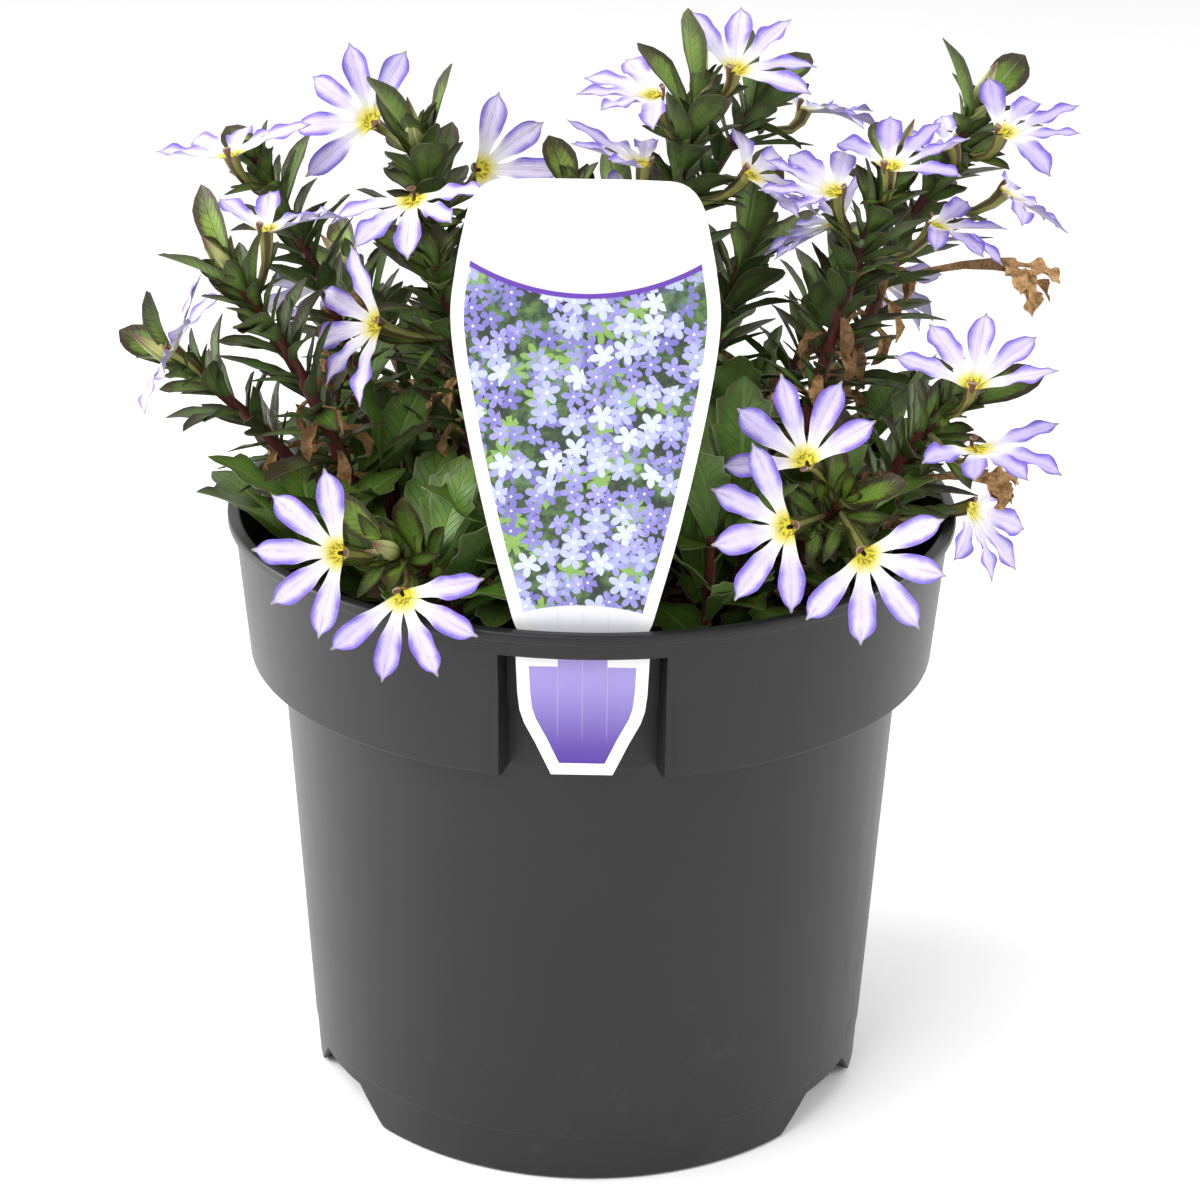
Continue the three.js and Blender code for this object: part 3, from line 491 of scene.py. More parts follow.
# %% Cut the pocket
POCKET_SIDE_ANGLE = 1.2
BEYOND_LIP = LIP_RADIUS + 5
window_half = (COLLAR_BOTTOM + WINDOW_TOP) / 2
inner_wall = BODY_TOP_RADIUS - WALL
wide = WINDOW_HALF_ANGLE + POCKET_SIDE_ANGLE
pocket_top = WINDOW_TOP + POCKET_ROOF
cut(pot, sector(inner_wall, COLLAR_BOTTOM_RADIUS, wide, COLLAR_BOTTOM, ledge), "UNION")
cut(pot, sector(inner_wall + 1, COLLAR_TOP_RADIUS - 0.7, wide, ledge - 0.5, pocket_top), "UNION")
cut(pot, sector(POCKET_BACK_BOTTOM, BEYOND_LIP, WINDOW_HALF_ANGLE, COLLAR_BOTTOM - 1, window_half))
cut(pot, sector(POCKET_BACK_TOP - 0.8, BEYOND_LIP, WINDOW_HALF_ANGLE, window_half - 0.1, WINDOW_TOP))
slot_width = 2 * NECK_HALF_WIDTH + 1
slot_depth = LABEL_THICKNESS + 2 * GAP
slot_middle = LABEL_FRONT + LABEL_THICKNESS / 2
cut(pot, plain_box((slot_width, slot_depth, 4), (0, slot_middle, pocket_top - 0.6)))
print("with its pocket:", triangles(pot), "triangles")

# %% Cut the notches and the drain holes
NOTCH_DEPTH = 12
NOTCH_REACH = 20
DRAIN_DEPTH = 8
half_foot = NOTCH_FOOT_WIDTH / 2
half_top = NOTCH_TOP_WIDTH / 2
notch = [(-half_foot, -1), (half_foot, -1), (half_top, NOTCH_HEIGHT), (-half_top, NOTCH_HEIGHT)]
notch_points = [(x * MM, (NOTCH_DEPTH - FOOT_RADIUS) * MM, z * MM) for x, z in notch]
for azimuth in NOTCH_AZIMUTHS:
    turn = math.radians(azimuth + 90)
    wedge = extruded(drawn("notch", notch_points, filled=True), (0, -NOTCH_REACH, 0))
    wedge.data.transform(Matrix.Rotation(turn, 4, "Z"))
    cut(pot, wedge)
    drain_place = (0, DRAIN_DEPTH - FOOT_RADIUS, FLOOR_UNDERSIDE + WALL / 2)
    cut(pot, plain_box((NOTCH_TOP_WIDTH, DRAIN_DEPTH, 6), drain_place, turn))
smooth(pot, 35)
print("pot cut:", triangles(pot), "triangles")

# %% [markdown]
# Moulded polypropylene is a near-black grey with a satin skin. Up close the skin has a very fine grain, a
# few long flow lines, and dusty scuffs near the ground. Noise at several scales does this: the finest feeds
# the bumps, and the broader ones shift the tone and the gloss a little.

# %% Finish the pot
plastic = Finish("charcoal_plastic")
broad = plastic.noise(22.0, 3.0)
fine = plastic.noise(2600.0, 2.0)
flow = plastic.noise(240.0, 4.0, height_scale=0.06)
dust = plastic.noise(130.0, 6.0, 0.7).rising(0.55, 0.8) * (1 - plastic.z.rising(0.004, 0.05))
clean = plastic.blend(broad, (0.0125, 0.0125, 0.0135), (0.0185, 0.0185, 0.0195))
tone = plastic.blend(dust * 0.3, clean, (0.10, 0.095, 0.09))
gloss = 0.34 + broad * 0.06 + flow * 0.06 + dust * 0.25
pot.data.materials.append(plastic.wear(tone, gloss, fine * 0.6 + flow * 0.4, 0.00003, 0.3))
hand_over(pot, "pot", "pot")

# %% [markdown]
# The push-in label is a printed plastic card. Its upper plate stands in front of the foliage, a narrow neck
# goes down through a slot in the collar, and a tab shows in the window below. The outline is a smooth line
# through a few measured points. An inset of the face leaves the white border, as the printer's margin does.

# %% Draw the label's card
LABEL_SIDE = [(12.2, 120.2), (16.3, 136.7), (20.2, 156.5), (22.2, 172), (21.4, 181.5), (19.6, 190.5)]
TAB_SIDE = [(11.6, WINDOW_TOP - GAP), (10.9, 102.8), (8.2, 96.6), (5.4, 90.5)]
LABEL_BORDER = 2.2
CARD_THICKNESS = 0.6


def smooth_line(points, steps=8):
    """A Catmull-Rom line through points."""
    points = [np.array(point, float) for point in points]
    ends = [2 * points[0] - points[1]] + points + [2 * points[-1] - points[-2]]
    line = []
    for a, b, c, d in zip(ends, ends[1:], ends[2:], ends[3:]):
        for step in range(steps):
            t = step / steps
            curve = (
                2 * b + (c - a) * t + (2 * a - 5 * b + 4 * c - d) * t**2 + (3 * b - a - 3 * c + d) * t**3
            )
            line.append(tuple(curve / 2))
    line.append(tuple(points[-1]))
    return line


def card(name, right_side, border):
    """A flat card whose right half is given from bottom to top, with an inset printed face."""
    outline = right_side + [(-x, z) for x, z in right_side[::-1]]
    made = drawn(name, [(x * MM, LABEL_FRONT * MM, z * MM) for x, z in outline], filled=True)
    if made.data.polygons[0].normal.y > 0:
        in_edit_mode(made, bpy.ops.mesh.flip_normals)
    in_edit_mode(made, lambda: bpy.ops.mesh.inset(thickness=border * MM, depth=0))
    return made


plate_bottom = pocket_top + GAP
plate_side = bow((7.5, plate_bottom), (11, plate_bottom), LABEL_SIDE[0], 6)[:-1]
plate_side += smooth_line(LABEL_SIDE)[:-1]
plate_side += bow(LABEL_SIDE[-1], (18.2, LABEL_TOP - 0.4), (13.5, LABEL_TOP - 0.2), 8)
plate_side += [(6.7, LABEL_TOP)]
label = card("label_card", plate_side, LABEL_BORDER)
tab_line = [(0.5, TAB_SIDE[-1][1])] + smooth_line(TAB_SIDE[::-1], 3)
tab_line += [(NECK_HALF_WIDTH, TAB_SIDE[0][1]), (NECK_HALF_WIDTH, plate_bottom + 1.5)]
tab = card("label_tab", tab_line, LABEL_BORDER)
print("card corners:", len(label.data.vertices), len(tab.data.vertices))

# %% [markdown]
# The card's print is our own: a bare white head over a thin violet arc, then lilac and pale star-shaped
# blossoms strewn over dark green, and a violet tab that deepens downwards. The blossoms come from a Voronoi
# texture: its cells give each one a centre, and the angle round the centre notches its edge into petals.

# %% Print the label
HEAD_CENTRE = 214.0
HEAD_RADIUS = 36.2
FOOT_CENTRE = 84.0
FOOT_ARC_RADIUS = 38.6
CREASE_HALF_WIDTH = 0.00012
EDGE = 0.1

LIGHT_VIOLET = (0.34, 0.28, 0.64)
DEEP_VIOLET = (0.062, 0.014, 0.29)

white_card = Finish("white_card")
x, z = white_card.x, white_card.z
neck = (1 - abs(x).rising(0.0042, 0.0044)) * z.rising(0.1106, 0.1108) * (1 - z.rising(0.1153, 0.1155))
speck = white_card.noise(900.0, 2.0)
paper = white_card.blend(speck, (0.86, 0.86, 0.87), (0.92, 0.92, 0.92))
paper = white_card.blend(neck, paper, LIGHT_VIOLET)
white_material = white_card.wear(paper, 0.34, speck, 0.00002, 0.5)

print_face = Finish("printed_card")
x, z = print_face.x, print_face.z


def from_centre(height):
    return ((x * x + (z - height * MM) ** 2.0) ** 0.5) * 1000.0


head = from_centre(HEAD_CENTRE)
head_mask = (1 - head.rising(HEAD_RADIUS - EDGE, HEAD_RADIUS + EDGE)) * z.rising(0.130, 0.131)
arc_mask = (1 - head.rising(HEAD_RADIUS + 0.8, HEAD_RADIUS + 0.8 + 2 * EDGE)) * z.rising(0.130, 0.131)
foot_mask = 1 - from_centre(FOOT_CENTRE).rising(FOOT_ARC_RADIUS - EDGE, FOOT_ARC_RADIUS + EDGE)
tab_mask = 1 - z.rising(0.1145, 0.1155)


def stars(per_metre, petals, reach, least):
    """Stars in the cells of a Voronoi texture: their masks, their eyes, and a draw for each."""
    flat = print_face.node("ShaderNodeCombineXYZ", None, {0: x, 1: z}).outputs[0]
    sockets = {"Vector": flat, "Scale": per_metre, "Randomness": 0.75}
    cells = print_face.node("ShaderNodeTexVoronoi", {"voronoi_dimensions": "2D"}, sockets)
    distance = Value(print_face, cells.outputs["Distance"])
    colours = print_face.node("ShaderNodeSeparateColor", None, {0: cells.outputs["Color"]})
    draw = Value(print_face, colours.outputs[0])
    centre = print_face.node("ShaderNodeSeparateXYZ", None, {0: cells.outputs["Position"]})
    from_x = x - Value(print_face, centre.outputs[0])
    from_z = z - Value(print_face, centre.outputs[1])
    angle = from_x.math("ARCTAN2", from_z, from_x)
    notch = abs((angle * (petals / 2) + draw * 6.0).sine())
    edge = reach * (0.34 + notch * 0.66)
    kept = draw.rising(least, least + 0.02)
    mask = (edge - distance).rising(0.0, 0.05) * kept
    return mask, (0.09 - distance).rising(0.0, 0.03) * kept, draw


print("print masks ready")

# %% Colour the print and join the label
leafy = print_face.noise(520.0, 6.0, 0.75)
deep = print_face.noise(150.0, 4.0, 0.6)
ground = print_face.blend(leafy.rising(0.35, 0.65), (0.014, 0.044, 0.016), (0.11, 0.22, 0.055))
sprig_mask, _, sprig_draw = stars(190.0, 7, 0.58, 0.6)
sprig = print_face.blend(sprig_draw * leafy, (0.13, 0.30, 0.05), (0.34, 0.52, 0.12))
back_mask, back_eye, back_draw = stars(310.0, 5, 0.68, 0.15)
lilac = print_face.blend(back_draw * leafy * 1.6, (0.13, 0.11, 0.42), (0.42, 0.40, 0.82))
front_mask, front_eye, front_draw = stars(240.0, 5, 0.60, 0.5)
pale = print_face.blend((front_draw - 0.5) * 1.2 + leafy * 0.4, (0.28, 0.29, 0.76), (0.70, 0.78, 0.96))
violet = print_face.blend(z.rising(0.091, 0.113), DEEP_VIOLET, LIGHT_VIOLET)
# The tab is modelled flat. Its fold lines are a small ridge in the bumps, and the pale lines painted on
# them are a painted highlight where the bent folds would catch the light.
from_side_crease = abs(abs(x) - NECK_HALF_WIDTH * MM)
crease = (1 - abs(x).rising(0.0, CREASE_HALF_WIDTH)) + (1 - from_side_crease.rising(0.0, CREASE_HALF_WIDTH))
crease_highlight_mask = crease * z.rising(0.096, 0.1) * (tab_mask + foot_mask).at_most(1.0)
colour = print_face.layers(
    ground,
    (deep.rising(0.42, 0.6) * 0.85, (0.006, 0.012, 0.009)),
    (sprig_mask, sprig),
    (back_mask * deep.rising(0.35, 0.45), lilac),
    (back_eye * deep.rising(0.4, 0.5), (0.70, 0.72, 0.62)),
    (front_mask, pale),
    (front_eye, (0.86, 0.86, 0.66)),
    (arc_mask, (0.11, 0.03, 0.36)),
    (head_mask, (0.9, 0.9, 0.9)),
    (foot_mask, (0.84, 0.84, 0.9)),
    (tab_mask, violet),
    # painted highlight: pale lines along the tab's folds
    (crease_highlight_mask * 0.3, (0.8, 0.78, 0.9)),
)
print_material = print_face.wear(colour, 0.3, crease, 0.00005, 0.5)

alone(label)
tab.select_set(True)
bpy.ops.object.join()
label.data.materials.append(white_material)
label.data.materials.append(print_material)
apply_modifier(label, "SOLIDIFY", thickness=CARD_THICKNESS * MM, offset=-1.0)
in_edit_mode(label, lambda: bpy.ops.mesh.normals_make_consistent(inside=False))
front_faces = [face for face in label.data.polygons if face.normal.y < -0.9]
largest = sorted(front_faces, key=lambda face: face.area)[-2:]
for face in label.data.polygons:
    face.material_index = 1 if face in largest else 0
smooth(label, 30)
hand_over(label, "label", "label")
print("label:", triangles(label), "triangles")

# %% [markdown]
# The soil is a damp bark mix. Its body follows the inside of the pot, and its top is uneven: broad hollows
# from a simple formula, with finer crumbs on them. We spin a section with many rings on top and then lift
# each point by that formula. In front of the label's pocket the soil draws back.

# %% Heap the soil
SOIL_TOP = 97
SOIL_RADIUS = 65
DOME_RADIUS = 64
SOIL_STEPS = 120
POCKET_SOIL_RADIUS = BODY_TOP_RADIUS - WALL - 1


def soil_relief(x, y):
    broad = 0.9 * math.sin(0.21 * x + 1) * math.cos(0.19 * y) + 0.6 * math.sin(0.47 * x - 0.39 * y)
    return broad + 0.35 * math.sin(1.3 * x + 0.4 * y) * math.cos(1.1 * y - 0.2 * x)


def dome(radius):
    return SOIL_TOP + 1 - (radius / DOME_RADIUS) ** 2


soil_floor = FLOOR_UNDERSIDE + WALL + GAP
soil_ledge = COLLAR_BOTTOM + WALL + GAP
soil_section = [
    (0, soil_floor),
    (FOOT_RADIUS - WALL - 0.3, soil_floor),
    (BODY_TOP_RADIUS - WALL - 0.6, soil_ledge),
    (SOIL_RADIUS - 0.5, soil_ledge),
    (SOIL_RADIUS, SOIL_TOP - 2),
    (SOIL_RADIUS - 1, SOIL_TOP - 1.2),
]
soil_section += [(radius, dome(radius)) for radius in np.linspace(62, 2, 31)]
soil_section += [(0, SOIL_TOP + 1)]
soil = spun("potting_soil", soil_section, SOIL_STEPS)
for vertex in soil.data.vertices:
    x, y, z = vertex.co / MM
    radius = math.hypot(x, y)
    if z > SOIL_TOP - 1.5:
        z += soil_relief(x, y) * min(1, (SOIL_RADIUS - radius) / 4)
    front = abs(math.degrees(math.atan2(x, -y)))
    if z > soil_ledge - 2 and front < WINDOW_HALF_ANGLE + 2.6 and radius > POCKET_SOIL_RADIUS:
        x, y = x * POCKET_SOIL_RADIUS / radius, y * POCKET_SOIL_RADIUS / radius
    vertex.co = Vector((x, y, z)) * MM
smooth(soil, 60)
print("soil:", triangles(soil), "triangles")

# %% [markdown]
# Bark chips lie all over the soil. One chip is modelled: a small ball of few faces, flattened and with its
# points pushed out unevenly. It is then copied hundreds of times along a sunflower spiral, which spreads
# them evenly. Every choice comes from one repeatable draw, so each run gives the same chips.

# %% Scatter bark chips
GOLDEN_ANGLE = math.radians(137.508)


def chance(stem, leaf, choice):
    """A repeatable draw from 0 to 1 for one choice on one leaf of one stem."""
    wave = math.sin(12.9898 * stem + 78.233 * leaf + 37.719 * choice) * 43758.5453
    return wave - math.floor(wave)


def on_spiral(i, count, inner, spread, turn=0.0):
    """The radius, x and y of one seed of a sunflower that has count of them."""
    radius = inner + spread * math.sqrt((i + 0.5) / count)
    angle = i * GOLDEN_ANGLE + turn
    return radius, radius * math.cos(angle), radius * math.sin(angle)


class Bundle:
    """Copies of modelled pieces, gathered into one mesh, with marks for the materials."""

    def __init__(self):
        self.points = []
        self.faces = []
        self.finishes = []
        self.marks = {}
        self.count = 0

    def add(self, points, faces, finish=0, **marks):
        self.points.append(np.asarray(points, float))
        self.faces += [tuple(self.count + corner for corner in face) for face in faces]
        self.finishes += [finish] * len(faces)
        for name, values in marks.items():
            row = np.broadcast_to(np.asarray(values, float), (len(points),))
            self.marks.setdefault(name, []).append(row)
        self.count += len(points)

    def made(self, name, materials, degrees=50):
        mesh = bpy.data.meshes.new(name)
        mesh.from_pydata(np.concatenate(self.points) * MM, [], self.faces)
        piece = bpy.data.objects.new(name, mesh)
        bpy.context.scene.collection.objects.link(piece)
        for material in materials:
            piece.data.materials.append(material)
        piece.data.polygons.foreach_set("material_index", self.finishes)
        for mark, rows in self.marks.items():
            attribute = piece.data.attributes.new(mark, "FLOAT", "POINT")
            attribute.data.foreach_set("value", np.concatenate(rows).astype(np.float32))
        smooth(piece, degrees)
        return piece


def pattern_of(piece):
    """Takes the points and faces of a modelled piece as a pattern for copies."""
    points = np.array([tuple(vertex.co) for vertex in piece.data.vertices])
    faces = [tuple(face.vertices) for face in piece.data.polygons]
    bpy.data.objects.remove(piece)
    return points, faces


bpy.ops.object.select_all(action="DESELECT")
bpy.ops.mesh.primitive_ico_sphere_add(subdivisions=1, radius=1)
chip = bpy.context.active_object
for i, vertex in enumerate(chip.data.vertices):
    vertex.co *= 0.75 + 0.5 * chance(5, i, 1)
    vertex.co.z *= 0.45
chip_points, chip_faces = pattern_of(chip)

CHIPS = 620
CHIP_SPREAD = 61
chips = Bundle()
for i in range(CHIPS):
    radius, x, y = on_spiral(i, CHIPS, 0, CHIP_SPREAD)
    if abs(math.degrees(math.atan2(x, -y))) < WINDOW_HALF_ANGLE + 6 and radius > POCKET_SOIL_RADIUS - 4:
        continue
    size = 1.0 + 2.2 * chance(60, i, 1) ** 2
    stretch = Matrix.Diagonal(Vector((size * (1 + chance(60, i, 2)), size, size)))
    tilt = Matrix.Rotation(0.9 * (chance(60, i, 3) - 0.5), 3, "X")
    swing = Matrix.Rotation(6.28 * chance(60, i, 4), 3, "Z")
    place = np.array([x, y, dome(radius) + soil_relief(x, y) + 0.15 * size])
    moved = chip_points @ np.array(swing @ tilt @ stretch).T + place
    chips.add(moved, chip_faces, mood=chance(60, i, 5))

# %% [markdown]
# Damp bark is nearly black with redder chips. The soil's own finish mixes three dark browns by noise. The
# chips carry a mark called mood, a draw that differs from chip to chip, and it picks their brown.

# %% Finish the soil
earth = Finish("damp_soil")
coarse = earth.noise(260.0, 6.0, 0.7)
crumb = earth.noise(1100.0, 4.0, 0.6)
dark = earth.blend(coarse.rising(0.35, 0.65), (0.010, 0.006, 0.004), (0.045, 0.026, 0.016))
tone = earth.blend(crumb.rising(0.6, 0.75) * 0.5, dark, (0.09, 0.055, 0.035))
soil.data.materials.append(earth.wear(tone, 0.85, coarse * 0.6 + crumb * 0.4, 0.0015, 0.3))
hand_over(soil, "soil", "soil")

bark = Finish("bark_chip")
grain = bark.noise(900.0, 5.0, 0.65)
tone = bark.blend(bark.mark("mood"), (0.022, 0.011, 0.007), (0.11, 0.055, 0.030))
tone = bark.blend(grain.rising(0.45, 0.7) * 0.5, tone, (0.012, 0.007, 0.005))
bark_material = bark.wear(tone, 0.8, grain, 0.0006, 0.3)
bark_chips = chips.made("bark_chips", [bark_material], 20)
hand_over(bark_chips, "soil")
print("bark chips:", triangles(bark_chips), "triangles")

# %% [markdown]
# A plant is a rule repeated with small changes. Stems are gentle curves from the soil to their tips. A
# leaf or petal is a blade: a place, the way that it grows, the way that its face looks, a length, a
# width, a bend along it and a fold at its midrib. These are the same rules that set out the part's solids,
# so each fine blade lies in the place of its plain one.

# %% Curves for stems
STEM_DEPTH = 9
STEM_ROOT_RADIUS = 1.7
STEM_TIP_RADIUS = 0.9
UP = np.array([0.0, 0.0, 1.0])


def unit(vector):
    return vector / (np.linalg.norm(vector) or 1)


class BentLine:
    """A quadratic curve with its tangent, and a frame that doesn't twist along it."""

    def __init__(self, start, middle, end):
        self.start, self.middle, self.end = (np.array(point, float) for point in (start, middle, end))
        across = np.cross(self.middle - self.start, self.end - self.middle)
        if np.linalg.norm(across) < 1e-6:
            across = np.cross(self.end - self.start, (0.3, 1, 0.2))
        self.across = unit(across)
        steps = [self.at(i / 20) for i in range(21)]
        self.length = sum(np.linalg.norm(b - a) for a, b in zip(steps, steps[1:]))

    def at(self, t):
        return on_arc(self.start, self.middle, self.end, t)

    def tangent(self, t):
        return unit((self.middle - self.start) * (1 - t) + (self.end - self.middle) * t)

    def depth(self, t):
        """The direction square to both the curve and its across."""
        return np.cross(self.across, self.tangent(t))

    def outward(self, t, angle):
        """The way out from the curve, at an angle round it."""
        return self.across * math.cos(angle) + self.depth(t) * math.sin(angle)


def stem_curve(root, tip):
    start = np.array([root[0], root[1], SOIL_TOP - STEM_DEPTH], float)
    end = np.array(tip, float)
    middle = start + (end - start) * np.array([0.25, 0.25, 0.6])
    return BentLine(start, middle, end)


def stem_radius(t):
    return STEM_ROOT_RADIUS + (STEM_TIP_RADIUS - STEM_ROOT_RADIUS) * min(max(t, 0), 1)


def branch_radius(_):
    return STEM_TIP_RADIUS


print("a test stem is", round(stem_curve((6, -2), (19, 1, 198)).length, 1), "mm long")

# %% Blades for leaves and petals
class Blade:
    """A leaf or petal: base, way, look and across are its axes, and the rest are its sizes in mm."""

    def __init__(self, base, along, face, length, half_width, bend, fold, kind):
        self.base = np.array(base, float)
        self.way = unit(along)
        self.look = unit(face - self.way * np.dot(face, self.way))
        self.across = np.cross(self.way, self.look)
        self.length = length
        self.half_width = half_width
        self.bend = bend
        self.fold = fold
        self.kind = kind
        self.twist = 0.0
        self.ripple = 0.0
        self.mood = 0.5
        self.age = 0.5

    def points(self, along, sideways, lift):
        """Points at a share along the midrib, at a distance in mm to one side and above the face."""
        turn = self.bend * along
        if self.bend == 0:
            reach = self.length * along
            drop = 0 * along
        else:
            reach = self.length / self.bend * np.sin(turn)
            drop = self.length / self.bend * (1 - np.cos(turn))
        flat = sideways * math.cos(self.fold)
        rise = np.abs(sideways) * math.sin(self.fold) + lift
        spin = self.twist * along
        flat, rise = flat * np.cos(spin) - rise * np.sin(spin), flat * np.sin(spin) + rise * np.cos(spin)
        forward = (reach + rise * np.sin(turn))[:, None] * self.way
        upward = (rise * np.cos(turn) - drop)[:, None] * self.look
        return self.base + forward + upward + flat[:, None] * self.across

    def cloud(self):
        """A few points spread over the blade, for keeping blades clear of each other."""
        shares = np.array([s for s in (0.3, 0.45, 0.6, 0.75, 0.88) for _ in range(3)] + [1.0])
        sides = np.array([-0.8, 0, 0.8] * 5 + [0.0])
        return self.points(shares, sides * self.half_width, np.zeros(16))


print("blade rule ready")

# %% [markdown]
# Leaves must not grow through each other. A list of points records everything that stands so far: the rim,
# the label, blooms, stems and earlier leaves. Each new leaf tries a few swings and takes the first that
# stands clear. One that finds too little room doesn't grow, just as a shaded leaf is dropped.

# %% Keep leaves clear of each other
SWINGS = [(0, 0), (-14, 0), (14, 0), (0, 28), (0, -28), (-14, 24)]
SWINGS += [(14, -24), (-26, -20), (24, 30), (-10, 50), (-10, -50), (-30, 8)]
ROOM = 2.4
LEAST_ROOM = 1.5
MOST_POINTS = 60000
LABEL_FOOT = 116
LABEL_WIDEST = 160


class Standing:
    """Everything that stands so far, as points that each know their owner."""

    def __init__(self):
        self.points = np.zeros((MOST_POINTS, 3))
        self.owners = np.zeros(MOST_POINTS, int)
        self.names = {}
        self.count = 0

    def occupy(self, owner, cloud):
        cloud = np.atleast_2d(cloud)
        number = self.names.setdefault(owner, len(self.names))
        self.points[self.count : self.count + len(cloud)] = cloud
        self.owners[self.count : self.count + len(cloud)] = number
        self.count += len(cloud)

    def clearance(self, owner, cloud):
        """The smallest distance from a cloud to others, exact up to 3 mm and more beyond that."""
        number = self.names.setdefault(owner, len(self.names))
        points = self.points[: self.count]
        near = (points > cloud.min(0) - 3).all(1) & (points < cloud.max(0) + 3).all(1)
        near &= self.owners[: self.count] != number
        least = 100.0
        if near.any():
            apart = points[near][:, None] - cloud[None]
            least = float(np.sqrt((apart**2).sum(2)).min())
        least = min(least, float((cloud[:, 2] - SOIL_TOP - 0.8).min()))
        low = cloud[cloud[:, 2] < POT_HEIGHT]
        if len(low):
            from_wall = np.abs(np.hypot(low[:, 0], low[:, 1]) - COLLAR_TOP_RADIUS) - 1.5 * WALL
            least = min(least, float(from_wall.min()))
        return least


standing = Standing()
for i in range(120):
    angle = math.radians(3 * i)
    for radius in (COLLAR_TOP_RADIUS - 2, LIP_RADIUS):
        standing.occupy("pot", (radius * math.cos(angle), radius * math.sin(angle), POT_HEIGHT - 1))
for height in range(LABEL_FOOT, 197, 3):
    widened = 11 + 10 * (height - LABEL_FOOT) / (LABEL_WIDEST - LABEL_FOOT)
    half = widened if height < LABEL_WIDEST else 21.5
    for share in range(-7, 8):
        standing.occupy("label", (share * half / 7, LABEL_FRONT + LABEL_THICKNESS / 2, height))
print("rim and label points:", standing.count)

# %% Let a leaf settle
def settle(owner, leaf_at, room=ROOM, least=LEAST_ROOM):
    """The first swing of a leaf that stands clear, or else the clearest one, or none.
    A leaf that would stand bolt upright has no face and isn't grown."""
    best, best_cloud, best_room = None, None, -1.0
    for pitch, turn in SWINGS:
        leaf = leaf_at(math.radians(pitch), math.radians(turn))
        cloud = leaf.cloud()
        found = standing.clearance(owner, cloud)
        if best is None or found > best_room:
            best, best_cloud, best_room = leaf, cloud, found
        if found >= room:
            break
    if best_room < least:
        return []
    standing.occupy(owner, best_cloud)
    return [best] if best.look.any() else []


# %% [markdown]
# The stems and blooms were read from the photograph: each stem's root and tip, and for each bloom its
# throat, the way that it faces, and the way that the middle petal of its fan points. A fan flower is like
# half a daisy: its five petals all stand on one side.

# %% Stems and blooms
STEMS = {
    "a": [(-38, -4), (-78, -14, 150), 0.95, 1],
    "b": [(-36, -14), (-65, -23, 169), 1, 1],
    "c": [(-34, 4), (-64, 6, 183), 1, 0],
    "d": [(-22, 4), (-33, 3, 187), 1.15, 1],
    "e": [(-18, -10), (-29, -15, 170), 1, 0],
    "f": [(6, -2), (19, 1, 198), 1.05, 1],
    "h": [(34, -6), (55, -5, 185), 1, 1],
    "i": [(38, 12), (73, 24, 191), 1.1, 1],
    "j": [(42, -14), (65, -26, 147), 1.1, 0],
    "k": [(30, -24), (45, -48, 136), 0.9, 0],
    "l": [(-12, -24), (-34, -53, 127), 0.9, 1],
    "m": [(14, 20), (30, 28, 162), 1.25, 0],
    "r": [(-6, -6), (-3, -9, 181), 0.9, 0],
    "n": [(-28, 26), (-50, 46, 150), 1.1, 1],
    "o": [(0, 34), (4, 58, 157), 1.1, 1],
    "p": [(30, 30), (50, 52, 152), 1.1, 0],
}
BRANCH_AT = 0.66
BRANCH_TIP = (31, 11, 195)
BRANCH_SIZE = 1.1
ROSETTES = [(-30, -27), (-50, -12), (-22, -44), (18, -34), (40, -31), (52, 6), (-31, 42), (30, 44)]
